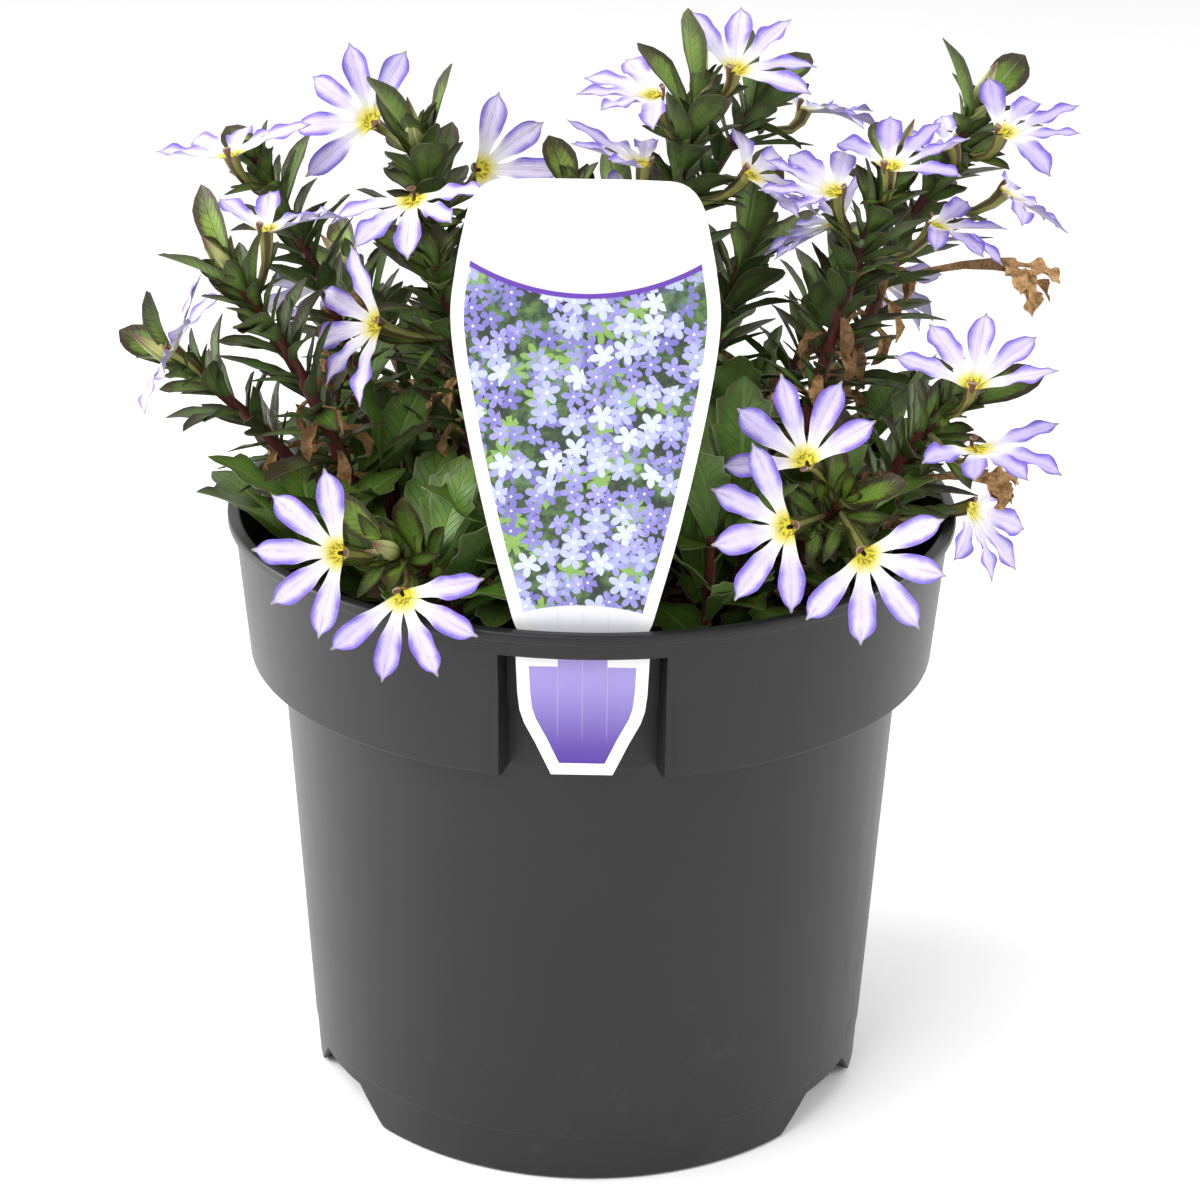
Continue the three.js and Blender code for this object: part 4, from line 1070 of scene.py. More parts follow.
BLOOMS = [
    ["a", (-77, -17, 152), (-0.8, -0.1, 0.6), (0.4, -0.8, 0.5)],
    ["c", (-67, -3, 185), (-0.3, 0, 1), (0.1, 1, 0)],
    ["b", (-59, -18, 175), (-0.1, 0, 1), (0.6, 0.8, 0)],
    ["d", (-42, 9, 189), (-0.2, -0.9, 0.4), (-0.8, 0, 0.6)],
    ["d", (-22, 10, 180), (0.1, -0.8, 0.5), (1, 0, 0)],
    ["d", (-33, -9, 179), (-0.2, -0.5, 0.8), (0, -0.8, -0.5)],
    ["e", (-39, -19, 158), (-0.5, -0.6, 0.5), (-0.7, 0.2, -0.2)],
    ["f", (11, -6, 198), (-0.1, -0.2, 1), (-0.9, -0.2, 0.2)],
    ["f", (25, -3, 202), (0, -0.4, 0.9), (0.7, 0.6, 0.4)],
    ["f", (9, -9, 186), (0.2, -0.1, 1), (-0.9, 0.2, 0.2)],
    ["f", (28, -7, 184), (0.5, -0.2, 0.8), (0.8, 0.2, 0.2)],
    ["g", (39, 16, 191), (0.2, 0.2, 1), (0.8, 0.5, 0)],
    ["r", (2, -14, 178), (0.4, -0.2, 0.9), (0.9, 0, 0.2)],
    ["h", (53, -13, 187), (-0.1, -0.2, 1), (0.7, 0.7, 0.2)],
    ["h", (44, -12, 182), (0, -0.3, 1), (-0.9, 0.3, 0.1)],
    ["h", (45, -1, 174), (-0.6, 0, 0.8), (-0.7, 0.3, 0.5)],
    ["h", (63, 1, 173), (0.4, 0, 0.9), (0.9, -0.2, 0.1)],
    ["i", (67, 14, 185), (-0.4, 0.1, 0.9), (-0.8, 0.2, 0.3)],
    ["i", (76, 12, 188), (0.1, -0.3, 1), (0.9, 0.3, 0.2)],
    ["i", (78, 19, 175), (0.6, 0, 0.8), (0.8, 0, -0.2)],
    ["j", (68, -34, 153), (0, -0.4, 0.9), (0.2, 0.9, 0.4)],
    ["j", (69, -36, 142), (0.1, -0.2, 1), (0.5, -0.8, -0.2)],
    ["j", (72, -9, 121), (0.8, -0.4, 0.4), (0.6, -0.1, -0.6)],
    ["k", (38, -51, 144), (-0.4, -0.8, 0.3), (-0.3, 0.3, 0.9)],
    ["k", (35, -59, 135), (0.1, -0.9, 0.4), (-1, -0.2, -0.2)],
    ["k", (48, -61, 131), (-0.1, -0.9, 0.3), (0.6, -0.4, -0.7)],
    ["l", (-42, -62, 130), (0.1, -0.9, 0.4), (-1, -0.2, 0.1)],
    ["l", (-31, -66, 124), (-0.2, -0.9, 0.2), (0.4, -0.4, -0.8)],
    ["n", (-56, 50, 146), (-0.4, 0.7, 0.5), (-0.5, 0.3, -0.6)],
    ["o", (6, 64, 150), (0.1, 0.9, 0.4), (0.7, 0, -0.7)],
    ["p", (58, 55, 148), (0.6, 0.6, 0.5), (0.5, 0.2, -0.6)],
]
SPENT = [["i", 0.62, (78, -1, 166), 11], ["j", 0.62, (73, -23, 132), 8]]

curves = {name: stem_curve(facts[0], facts[1]) for name, facts in STEMS.items()}
fork = curves["f"].at(BRANCH_AT)
fork_middle = fork + (np.array(BRANCH_TIP) - fork) * 0.5 + 3 * curves["f"].tangent(BRANCH_AT)
curves["g"] = BentLine(fork, fork_middle, BRANCH_TIP)
print("stems:", len(curves), "blooms:", len(BLOOMS))

# %% Set out the blooms
PETAL_LENGTH = 15
PETAL_WIDTH = 4.6
PETAL_LIFT = math.radians(17)
PETAL_STEP = math.radians(39)


def leans_out(blade):
    """Whether a blade's points leave the box of the part's solids."""
    cloud = blade.cloud() * MM
    return bool((cloud < np.array(cad_low)).any() or (cloud > np.array(cad_high)).any())


class Bloom:
    """One fan flower: its throat, the line of its tube, and its five petals."""

    def __init__(self, number, stem, throat, faces, fan):
        curve = curves[stem]
        self.number = number
        self.throat = np.array(throat, float)
        self.faces = unit(np.array(faces, float))
        fan = np.array(fan, float)
        self.fan = unit(fan - self.faces * np.dot(fan, self.faces))
        self.side = np.cross(self.fan, self.faces)
        wanted = self.throat - 7 * self.faces - 2 * UP
        shares = [0.3 + 0.66 * i / 70 for i in range(71)]
        nearest = min(shares, key=lambda t: np.linalg.norm(curve.at(t) - wanted))
        foot = curve.at(nearest)
        bowed = self.throat - 0.55 * np.linalg.norm(foot - self.throat) * self.faces
        out = bowed - foot
        axis = curve.tangent(nearest)
        out = unit(out - axis * np.dot(out, axis))
        foot = foot + out * (stem_radius(nearest) + GAP)
        self.line = BentLine(foot, bowed, self.throat)
        self.petals = [self.petal(place) for place in (-2, -1, 0, 1, 2)]

    def petal(self, place):
        angle = PETAL_STEP * place
        spread = self.fan * math.cos(angle) + self.side * math.sin(angle)
        way = spread * math.cos(PETAL_LIFT) + self.faces * math.sin(PETAL_LIFT)
        base = self.throat - 0.7 * self.faces + 0.4 * way
        return Blade(base, way, self.faces, PETAL_LENGTH, PETAL_WIDTH / 2, 0.35, 0.18, "petal")

    def relax(self):
        """Gives each petal its own size, curl, twist and ruffle, but none leans out of the part's box."""
        for place, petal in enumerate(self.petals):
            key = 10 * self.number + place
            plain = dict(vars(petal))
            petal.length *= 0.95 + 0.12 * chance(70, key, 4)
            petal.half_width *= 1.0 + 0.18 * chance(70, key, 5)
            petal.bend += 0.8 * (chance(70, key, 6) - 0.55)
            petal.fold += 0.3 * chance(70, key, 7)
            petal.twist = 0.9 * (chance(70, key, 1) - 0.5)
            if leans_out(petal):
                vars(petal).update(plain)
            petal.ripple = 0.6 + 0.8 * chance(70, key, 2)
            petal.mood = chance(71, self.number, 1)
            petal.age = chance(70, key, 3)


blooms = [Bloom(i + 1, *facts) for i, facts in enumerate(BLOOMS)]
for bloom in blooms:
    for petal in bloom.petals:
        standing.occupy(f"bloom_{bloom.number}", petal.cloud())
    standing.occupy(f"bloom_{bloom.number}", [bloom.line.at(t) for t in (0.45, 0.75, 1)])
print("petals:", sum(len(bloom.petals) for bloom in blooms))

# %% [markdown]
# Leaves go round a stem by the golden angle, so that none shades the one just below it. Low leaves are
# broad and toothed, middle ones are slim and stand out from the stem, and those near the tip are broader,
# shorter and more upright. After the main leaves a second, denser pass fills the spaces that are left.

# %% Grow the leaves
LEAF_SPACING = 5


def mix(first, second, share):
    return first + (second - first) * share


def leaves_on(owner, number, curve, size, radius_at, spacing=LEAF_SPACING, start=0.3, heart=1.0, **rooms):
    count = round(curve.length * (1 - start) / spacing)
    grown = []
    for k in range(count):
        height = 1 - (1 - (k + 0.5) / count) ** 1.25
        t = mix(start, 1, height)
        low = k < 3 and number < len(STEMS)
        along = curve.tangent(t)
        shortest = mix(12.5, 15, min(1, 1.6 * height))
        length = size * (20 if low else shortest + 2.5 * chance(number, k, 1))
        length *= mix(1, heart, height**4)
        narrow = not low and height < 0.6
        share = 0.2 if low else 0.125 if narrow else 0.165
        half_width = share * length + 0.25 * chance(number, k, 2)
        pitch = mix(66, 24, height**1.6) + 10 * (chance(number, k, 3) - 0.5)
        bend = mix(0.5, -0.25, height) + 0.3 * (chance(number, k, 4) - 0.5)
        fold = 0.22 + 0.2 * chance(number, k, 5)
        kind = "toothed" if low else "slim" if narrow else "broad"
        turned_by = k * GOLDEN_ANGLE + 2.4 * number

        def leaf_at(extra_pitch, extra_turn):
            angle = turned_by + extra_turn
            out = curve.outward(t, angle)
            lean = math.radians(pitch) + extra_pitch
            way = along * math.cos(lean) + out * math.sin(lean)
            base = curve.at(t) + 0.2 * radius_at(t) * out
            return Blade(base, way, along, length, half_width, bend, fold, kind)

        for leaf in settle(owner, leaf_at, **rooms):
            leaf.mood = chance(number, k, 11)
            leaf.age = 1 - height
            grown.append(leaf)
    return grown


def rosette_curve(x, y, number, height):
    start = np.array([x, y, SOIL_TOP - STEM_DEPTH], float)
    end = np.array([x * 1.08, y * 1.08, SOIL_TOP + height], float)
    return BentLine(start, (start + end) / 2, end)


def rosette_leaves(owner, number, curve, size=1.0, leaves=5, **rooms):
    grown = []
    outward = math.atan2(curve.start[1], curve.start[0])
    for k in range(leaves):
        length = size * (25 + 6 * chance(number, k, 7))
        half_width = 0.2 * length + 0.6 * chance(number, k, 8)
        bend = 0.3 + 0.4 * chance(number, k, 10)
        base = curve.at(0.6 + 0.09 * k)

        def leaf_at(extra_pitch, extra_turn):
            angle = outward + k * GOLDEN_ANGLE + 0.6 * (chance(number, k, 9) - 0.5) + extra_turn
            out = np.array([math.cos(angle), math.sin(angle), 0])
            lean = math.radians(62 - 9 * k) + extra_pitch
            way = UP * math.cos(lean) + out * math.sin(lean)
            return Blade(base, way, UP, length, half_width, bend, 0.2, "toothed")

        for leaf in settle(owner, leaf_at, **rooms):
            leaf.mood = chance(number, k, 11)
            leaf.age = 1.0
            grown.append(leaf)
    return grown


stem_leaves = {name: [] for name in STEMS}


def grow_pass(first, scale, **rules):
    """One pass of leaves over every stem and the branch. Their draws start at the number first."""
    for number, (name, (_, _, size, _)) in enumerate(STEMS.items(), first):
        owner, curve = f"stem_{name}", curves[name]
        stem_leaves[name] += leaves_on(owner, number, curve, scale * size, stem_radius, **rules)
    branch_size = scale * BRANCH_SIZE
    stem_leaves["f"] += leaves_on("stem_f", first + 20, curves["g"], branch_size, branch_radius, **rules)


rosette_curves = []
for i, (x, y) in enumerate(ROSETTES):
    curve = rosette_curve(x, y, 30 + i, 14 + 12 * chance(30 + i, 0, 6))
    rosette_curves.append(curve)
    standing.occupy(f"rosette_{i + 1}", [curve.at(step / 10) for step in range(4, 10)])
for name in STEMS:
    standing.occupy(f"stem_{name}", [curves[name].at(step / 40) for step in range(7, 40)])
grow_pass(0, 1)
rosettes = [rosette_leaves(f"rosette_{i + 1}", 30 + i, curve) for i, curve in enumerate(rosette_curves)]
main_leaves = sum(map(len, stem_leaves.values())) + sum(map(len, rosettes))
print("main leaves:", main_leaves, "points that stand:", standing.count)

# %% Fill in with more leaves
for bloom in blooms:
    bloom.relax()
    for petal in bloom.petals:
        standing.occupy(f"bloom_{bloom.number}", petal.cloud())
grow_pass(100, 0.88, spacing=2.2, start=0.32, heart=0.5, room=1.3, least=0.75)
grow_pass(140, 0.66, spacing=1.7, start=0.26, heart=0.45, room=1.0, least=0.5)
UNDERGROWTH = 40
UNDERGROWTH_FROM = 8
UNDERGROWTH_SPREAD = 46
undergrowth = []
undergrowth_curves = []
for i in range(UNDERGROWTH):
    _, x, y = on_spiral(i, UNDERGROWTH, UNDERGROWTH_FROM, UNDERGROWTH_SPREAD, 0.4)
    curve = rosette_curve(x, y, 200 + i, 8 + 26 * chance(200 + i, 0, 6))
    leaves = rosette_leaves(f"undergrowth_{i}", 200 + i, curve, 0.85, 6, room=1.4, least=0.8)
    if leaves:
        undergrowth_curves.append(curve)
        undergrowth += leaves
print("all stem leaves:", sum(map(len, stem_leaves.values())), "undergrowth leaves:", len(undergrowth))

# %% [markdown]
# Each kind of blade is modelled once, flat, in a space of its own: X runs across from -1 to 1, Y runs from
# base to tip from 0 to 1, and Z is the thickness. A grid primitive is narrowed row by row to the outline
# and given its two faces by Solidify. A copy is then laid on each blade by the blade rule.

# %% Model the four blades once
OUTLINES = {
    "slim": [(0, 0.2), (0.25, 0.62), (0.5, 1), (0.78, 0.72), (1, 0.04)],
    "broad": [(0, 0.26), (0.3, 0.66), (0.62, 1), (0.82, 0.84), (0.94, 0.4), (1, 0.04)],
    "petal": [
        (0, 0.38), (0.2, 0.44), (0.35, 0.6), (0.48, 0.86), (0.6, 0.97), (0.7, 1.0), (0.79, 0.93),
        (0.87, 0.66), (0.92, 0.4), (0.95, 0.14), (1, 0.04),
    ],
}
TOOTHED_OUTLINE = [
    (0, 0.16), (0.07, 0.18), (0.14, 0.26), (0.22, 0.4), (0.31, 0.57), (0.4, 0.74), (0.5, 0.9),
    (0.56, 0.98), (0.6, 1.04), (0.635, 0.84), (0.68, 0.87), (0.74, 0.9), (0.79, 0.92), (0.825, 0.62),
    (0.88, 0.55), (0.94, 0.34), (1, 0.03),
]


def smooth_outline(points, rows):
    line = np.array(smooth_line(points, 20))
    shares = np.linspace(0, 1, rows)
    return [(share, max(0.03, float(np.interp(share, line[:, 0], line[:, 1])))) for share in shares]


def model_blade(outline, columns):
    """A flat blade with two faces: X in shares of the half width, Y along, Z the thickness."""
    bpy.ops.object.select_all(action="DESELECT")
    bpy.ops.mesh.primitive_grid_add(x_subdivisions=columns, y_subdivisions=len(outline) - 1, size=2)
    blade = bpy.context.active_object
    for vertex in blade.data.vertices:
        row = round((vertex.co.y + 1) / 2 * (len(outline) - 1))
        share, width = outline[row]
        vertex.co.x *= width
        vertex.co.y = share
    apply_modifier(blade, "SOLIDIFY", thickness=0.02, offset=0.0)
    points, faces = pattern_of(blade)
    shares, widths = zip(*outline)
    side = points[:, 0] / np.interp(points[:, 1], shares, widths)
    return {"points": points, "faces": faces, "side": np.clip(side, -1, 1), "up": np.sign(points[:, 2])}


BLADES = {
    "slim": model_blade(smooth_outline(OUTLINES["slim"], 8), 4),
    "broad": model_blade(smooth_outline(OUTLINES["broad"], 10), 4),
    "petal": model_blade(smooth_outline(OUTLINES["petal"], 18), 8),
    "toothed": model_blade(TOOTHED_OUTLINE, 8),
}
for kind, blade_pattern in BLADES.items():
    print(kind, "blade:", len(blade_pattern["faces"]), "faces")

# %% Lay a copy on each blade
LEAF_MIDDLE = 0.34
LEAF_EDGE = 0.12
HIGHEST_RELAXED = 194
LABEL_REACH = 23


def behind_label(points):
    """Presses what would poke through the label's card flat against its back."""
    x, y, z = points.T
    back = LABEL_FRONT + CARD_THICKNESS + 0.1
    beside = (np.abs(x) < LABEL_REACH) & (z > WINDOW_TOP + 0.4) & (z < LABEL_TOP + 1.2)
    poking = beside & (y < back) & (y > LABEL_FRONT - 2)
    y[poking] = back
    return points


def lay(bundle, blade, finish=0):
    """Adds a copy of a modelled blade to a bundle, bent and folded as its rule says."""
    pattern = BLADES[blade.kind]
    share = pattern["points"][:, 1]
    across = pattern["points"][:, 0]
    soft = np.sqrt(across**2 + 0.012) - 0.11
    thick = mix(LEAF_MIDDLE, LEAF_EDGE, np.minimum(1, np.abs(across) * 1.4)) * (1 - 0.5 * share)
    waves = np.sin(share * 17 + 9 * blade.mood + np.sign(across)) * across**2 * blade.ripple
    vein = -0.25 * np.exp(-((across / 0.09) ** 2)) * (1 - share) * (blade.kind != "petal")
    lift = pattern["up"] * thick / 2 + waves * 0.5 + vein
    lift += (soft - np.abs(across)) * blade.half_width * math.sin(blade.fold)
    points = behind_label(blade.points(share, across * blade.half_width, lift))
    marks = {"along": share, "side": pattern["side"], "under": pattern["up"] < 0}
    bundle.add(points, pattern["faces"], finish, mood=blade.mood, age=blade.age, **marks)


leaves_of_stems = [leaf for leaves in stem_leaves.values() for leaf in leaves]
leaves_near_soil = [leaf for leaves in [*rosettes, undergrowth] for leaf in leaves]
for leaf in leaves_of_stems:
    leaf.ripple = 0.3
    leaf.twist = 0.5 * (leaf.mood - 0.5)
    if leaf.kind == "broad":
        leaf.half_width *= 1.18
    if leaf.kind == "broad" and leaf.base[2] < HIGHEST_RELAXED:
        leaf.bend += 0.15 + 0.4 * leaf.mood
for leaf in leaves_near_soil:
    leaf.ripple = 1.6
    leaf.twist = 0.3 * (leaf.mood - 0.5)
print("a leaf is", LEAF_MIDDLE, "mm thick at its midrib")

# %% Cut short the leaves that would pierce a petal
PETAL_ROOM = 0.9
SHORTER = (1, 0.85, 0.72, 0.6, 0.5)


def spread(blade, rows):
    """Points all over a blade."""
    shares, sides = np.meshgrid(np.linspace(0.1, 1, rows), (-0.7, -0.35, 0, 0.35, 0.7))
    shares, sides = shares.ravel(), sides.ravel()
    return blade.points(shares, sides * blade.half_width * np.sqrt(1 - shares**2), 0 * shares)


petal_points = np.concatenate([spread(petal, 14) for bloom in blooms for petal in bloom.petals])
cut_short = 0
for leaf in leaves_of_stems + leaves_near_soil:
    full_length = leaf.length
    for share in SHORTER:
        leaf.length = full_length * share
        cloud = spread(leaf, 10)
        near = (petal_points > cloud.min(0) - 1).all(1) & (petal_points < cloud.max(0) + 1).all(1)
        apart = petal_points[near][:, None] - cloud[None]
        if not near.any() or np.sqrt((apart**2).sum(2)).min() > PETAL_ROOM:
            break
    cut_short += leaf.length < full_length
print("leaves cut short by a petal:", cut_short)

# %% [markdown]
# Round pieces follow a line in the same way: one tube is modelled along Y and bent round each curve. Its
# rings are closer together where the shape changes. Stems, flower tubes, stalks and buds are all this tube
# with another list of radii, and its two ends close to a point.

# %% Tubes along a curve
def tube_pattern(rings, sides):
    """A capped tube of unit radius and length, from a cylinder primitive cut into rings."""
    bpy.ops.object.select_all(action="DESELECT")
    bpy.ops.mesh.primitive_cylinder_add(vertices=sides, radius=1, depth=1, end_fill_type="TRIFAN")
    made = bpy.context.active_object
    alone(made)
    bpy.ops.object.mode_set(mode="EDIT")
    for cutting in range(1, rings):
        bpy.ops.mesh.select_all(action="SELECT")
        height = cutting / rings - 0.5
        bpy.ops.mesh.bisect(plane_co=(0, 0, height), plane_no=(0, 0, 1))
    bpy.ops.object.mode_set(mode="OBJECT")
    return pattern_of(made)


TUBES = {}


def sweep(bundle, curve, radii, finish=0, sides=8, mood=0.5, age=0.5, inner_from=100, flat=1.0):
    """A tube along a curve through a list of (share, radius) in mm.
    Rings from inner_from on are inside it, and flat makes its section an oval."""
    rings = len(radii) - 1
    if (rings, sides) not in TUBES:
        TUBES[rings, sides] = tube_pattern(rings, sides)
    points, faces = TUBES[rings, sides]
    row = np.rint((points[:, 2] + 0.5) * rings).astype(int)
    shares = np.array([share for share, _ in radii])[row]
    widths = np.array([radius for _, radius in radii])[row]
    placed = np.zeros((len(points), 3))
    turns = np.arctan2(points[:, 1], points[:, 0])
    for i, (x, y, _) in enumerate(points):
        offset = curve.across * x + curve.depth(shares[i]) * y * flat
        placed[i] = curve.at(shares[i]) + offset * widths[i]
    marks = {"along": shares, "side": turns / math.pi, "under": row >= inner_from}
    bundle.add(placed, faces, finish, mood=mood, age=age, **marks)


print("tube helper ready")

# %% [markdown]
# Living tissue needs several finishes that share their marks: along runs from base to tip, side from edge
# to edge, and mood and age differ from leaf to leaf. Fan flower leaves are dark green and glossy, with a
# paler midrib, and their margins and tips flush maroon in sun. The underside is duller and paler.

# %% Finish the leaves
leaf_finish = Finish("leaf_green")
MARKS = ("along", "side", "mood", "age", "under")
along, side, mood, age, under = (leaf_finish.mark(name) for name in MARKS)
mottle = leaf_finish.noise(380.0, 4.0, 0.6)
fine = leaf_finish.noise(2400.0, 3.0)
veins = abs((along * 34.0 - abs(side) * 7.0).sine())
vein_mask = (1 - veins.rising(0.0, 0.28)) * abs(side).rising(0.05, 0.2) * (1 - abs(side).rising(0.8, 0.95))
rib_mask = 1 - abs(side).rising(0.03, 0.11)
old_green = leaf_finish.blend(mood, (0.045, 0.118, 0.010), (0.095, 0.205, 0.018))
young_green = leaf_finish.blend(mood, (0.110, 0.205, 0.020), (0.175, 0.270, 0.032))
ragged = mottle * 0.4 - 0.2
edge_flush = (abs(side) + ragged).rising(0.48, 0.86) * 0.9
tip_flush = (along + ragged).rising(0.52, 0.92) * 0.9
foot_flush = (1 - (along + ragged).rising(0.05, 0.45)) * 0.8
middle_leaf = age.rising(0.15, 0.45) * (1 - age.rising(0.8, 0.95))
flush = (edge_flush + tip_flush) * (1 - age * 0.65)
flush = flush + (mood.rising(0.3, 0.9) * 0.7 + foot_flush) * middle_leaf
hairy_edge = abs(side).rising(0.93, 0.99) * age.rising(0.85, 1.0)
green = leaf_finish.layers(
    leaf_finish.blend(age.rising(0.0, 0.45), young_green, old_green),
    (mottle.rising(0.35, 0.75) * 0.45, (0.140, 0.250, 0.026)),
    (vein_mask * 0.25, (0.160, 0.270, 0.060)),
    (rib_mask * 0.5, (0.190, 0.260, 0.080)),
    (flush.at_most(0.92), (0.030, 0.009, 0.008)),
    (hairy_edge * 0.45, (0.23, 0.24, 0.13)),
    (under * 0.4, (0.120, 0.180, 0.065)),
)
leaf_gloss = 0.36 + mottle * 0.12 + under * 0.2
leaf_height = fine * 0.15 + mottle * 0.35 - vein_mask * 0.4 - rib_mask * 0.5
leaf_material = leaf_finish.wear(green, leaf_gloss, leaf_height, 0.00035, 0.27)

# %% Finish the stems
stem_finish = Finish("stem_maroon")
age = stem_finish.mark("age")
streak = stem_finish.noise(900.0, 4.0, 0.6, height_scale=0.15)
bark_tone = stem_finish.blend(streak, (0.028, 0.006, 0.005), (0.13, 0.024, 0.016))
stem_tone = stem_finish.blend((1 - age).rising(0.55, 1.0) * 0.7, bark_tone, (0.085, 0.105, 0.025))
stem_material = stem_finish.wear(stem_tone, 0.55, streak, 0.0005, 0.35)

# %% [markdown]
# The petals are white where they leave the throat and lavender further out, deeper at their ruffled edges
# and along the middle, with a tiny pale point. At the throat itself they turn yellow with olive lines that
# guide bees in. The flower's tube is yellow-green with dark brown stripes.

# %% Finish the petals
petal_finish = Finish("petal_lavender")
along, side, mood, under = (petal_finish.mark(name) for name in ("along", "side", "mood", "under"))
cloudy = petal_finish.noise(420.0, 4.0, 0.6)
fine_lines = abs((side * 15.0).sine())
violet = petal_finish.blend(mood, (0.130, 0.068, 0.520), (0.225, 0.140, 0.660))
pale = petal_finish.blend(mood, (0.560, 0.480, 0.820), (0.800, 0.740, 0.910))
far = along.rising(0.16, 0.55)
edge = (abs(side) + cloudy * 0.5 - 0.25).rising(0.30, 0.96) * far
streak = (1 - abs(side).rising(0.0, 0.25)) * along.rising(0.45, 0.8) * cloudy.rising(0.35, 0.6)
white_base = 1 - (along - abs(side) * 0.1 + cloudy * 0.1).rising(0.20, 0.52)
yellow_base = 1 - (along + cloudy * 0.08).rising(0.11, 0.30)
guide = abs(side).rising(0.55, 0.95) * (1 - along.rising(0.05, 0.14)) * 0.75
petal_tone = petal_finish.layers(
    pale,
    (edge * 0.95, violet),
    (streak * 0.4, (0.36, 0.20, 0.62)),
    (white_base, (0.90, 0.88, 0.88)),
    (yellow_base, (0.86, 0.76, 0.055)),
    (guide, (0.10, 0.05, 0.02)),
    (along.rising(0.94, 0.985) * 0.8, (0.55, 0.42, 0.34)),
    (under * 0.45, (0.62, 0.56, 0.74)),
)
petal_height = cloudy * 0.5 + fine_lines * 0.25 - (1 - abs(side).rising(0.0, 0.3)) * 0.3
petal_material = petal_finish.wear(petal_tone, 0.52, petal_height, 0.0003, 0.3)

# %% Finish the tubes, style cups, buds and withered blooms
tube_finish = Finish("tube_striped")
along, side, inside = (tube_finish.mark(name) for name in ("along", "side", "under"))
ragged = tube_finish.noise(700.0, 3.0)
stripes = ((side * (3 * math.pi)).sine() + ragged * 0.8).rising(0.35, 0.95)
rays = (side * (8 * math.pi)).sine().rising(0.3, 0.9)
inside_tone = tube_finish.blend(along.rising(0.8, 1.0), (0.16, 0.10, 0.02), (0.72, 0.58, 0.07))
inside_tone = tube_finish.blend(rays * 0.6, inside_tone, (0.10, 0.06, 0.02))
tube_tone = tube_finish.layers(
    tube_finish.blend(ragged, (0.16, 0.17, 0.040), (0.32, 0.30, 0.075)),
    (stripes * 0.85, (0.050, 0.020, 0.013)),
    ((1 - along.rising(0.0, 0.4)) * 0.6, (0.055, 0.060, 0.020)),
    (inside, inside_tone),
)
tube_material = tube_finish.wear(tube_tone, 0.5, ragged, 0.0002, 0.35)

cup_finish = Finish("style_cup")
along = cup_finish.mark("along")
hairy = cup_finish.noise(2200.0, 3.0)
cup_tone = cup_finish.layers(
    cup_finish.blend(hairy, (0.085, 0.030, 0.026), (0.22, 0.105, 0.080)),
    (along.rising(0.84, 0.94) * 0.8, (0.46, 0.36, 0.24)),
    (along.rising(0.96, 0.99), (0.12, 0.05, 0.035)),
)
cup_material = cup_finish.wear(cup_tone, 0.6, hairy, 0.0003, 0.3)

bud_finish = Finish("bud_green")
along, side = bud_finish.mark("along"), bud_finish.mark("side")
ribs = abs((side * (2.5 * math.pi)).sine())
soft = bud_finish.noise(800.0, 3.0)
bud_tone = bud_finish.layers(
    bud_finish.blend(along.rising(0.1, 0.5), (0.16, 0.22, 0.04), (0.50, 0.52, 0.20)),
    (along.rising(0.55, 1.0) * (0.6 + soft * 0.6), (0.24, 0.09, 0.08)),
    ((1 - ribs.rising(0.0, 0.3)) * 0.35, (0.10, 0.09, 0.03)),
)
bud_material = bud_finish.wear(bud_tone, 0.55, ribs + soft * 0.3, 0.0003, 0.35)

dry_finish = Finish("withered_tan")
mood = dry_finish.mark("mood")
crinkle = dry_finish.noise(650.0, 5.0, 0.7)
dry_tone = dry_finish.blend(crinkle.rising(0.3, 0.7), (0.24, 0.11, 0.035), (0.70, 0.44, 0.20))
dry_tone = dry_finish.blend(mood, dry_tone, (0.085, 0.040, 0.018))
dry_material = dry_finish.wear(dry_tone, 0.8, crinkle, 0.001, 0.25)

# %% [markdown]
# Now each fan flower is put together: five petals, a striped tube that opens into a yellow throat, and the
# small brown cup with a pale rim that this flower's style carries on the side without petals.

# %% Build the blooms
FLOWER_MATERIALS = [petal_material, tube_material, cup_material, leaf_material]
TUBE_WALL = [(0, 0.5), (0.06, 0.8), (0.3, 0.75), (0.55, 0.9), (0.8, 1.2), (0.95, 1.45), (1.0, 1.5)]
TUBE_INSIDE = [(0.985, 1.3), (0.95, 1.0), (0.85, 0.6)]
CUP_RADII = [(0, 0.35), (0.35, 0.4), (0.6, 0.5), (0.78, 0.75), (0.92, 0.85), (0.98, 0.75), (1.0, 0.5)]


def bracts(bloom):
    """The leaf below a flower's tube, and two small slim ones beside it."""
    line = bloom.line
    way = unit(line.at(0.7) - line.start)
    over = unit(bloom.throat - line.at(0.5))
    made = []
    for k, (turn, size) in enumerate([(0, 0.85), (-0.7, 0.6), (0.7, 0.6)]):
        swung = way * math.cos(turn) + line.across * math.sin(turn) - 0.25 * over
        length = min(13, max(6, size * line.length))
        kind = "broad" if k == 0 else "slim"
        leaf = Blade(line.at(0.04), swung, over, length, 0.15 * length, 0.2, 0.3, kind)
        leaf.mood = chance(75, 3 * bloom.number + k, 1)
        leaf.age = 0.2
        made.append(leaf)
    return made


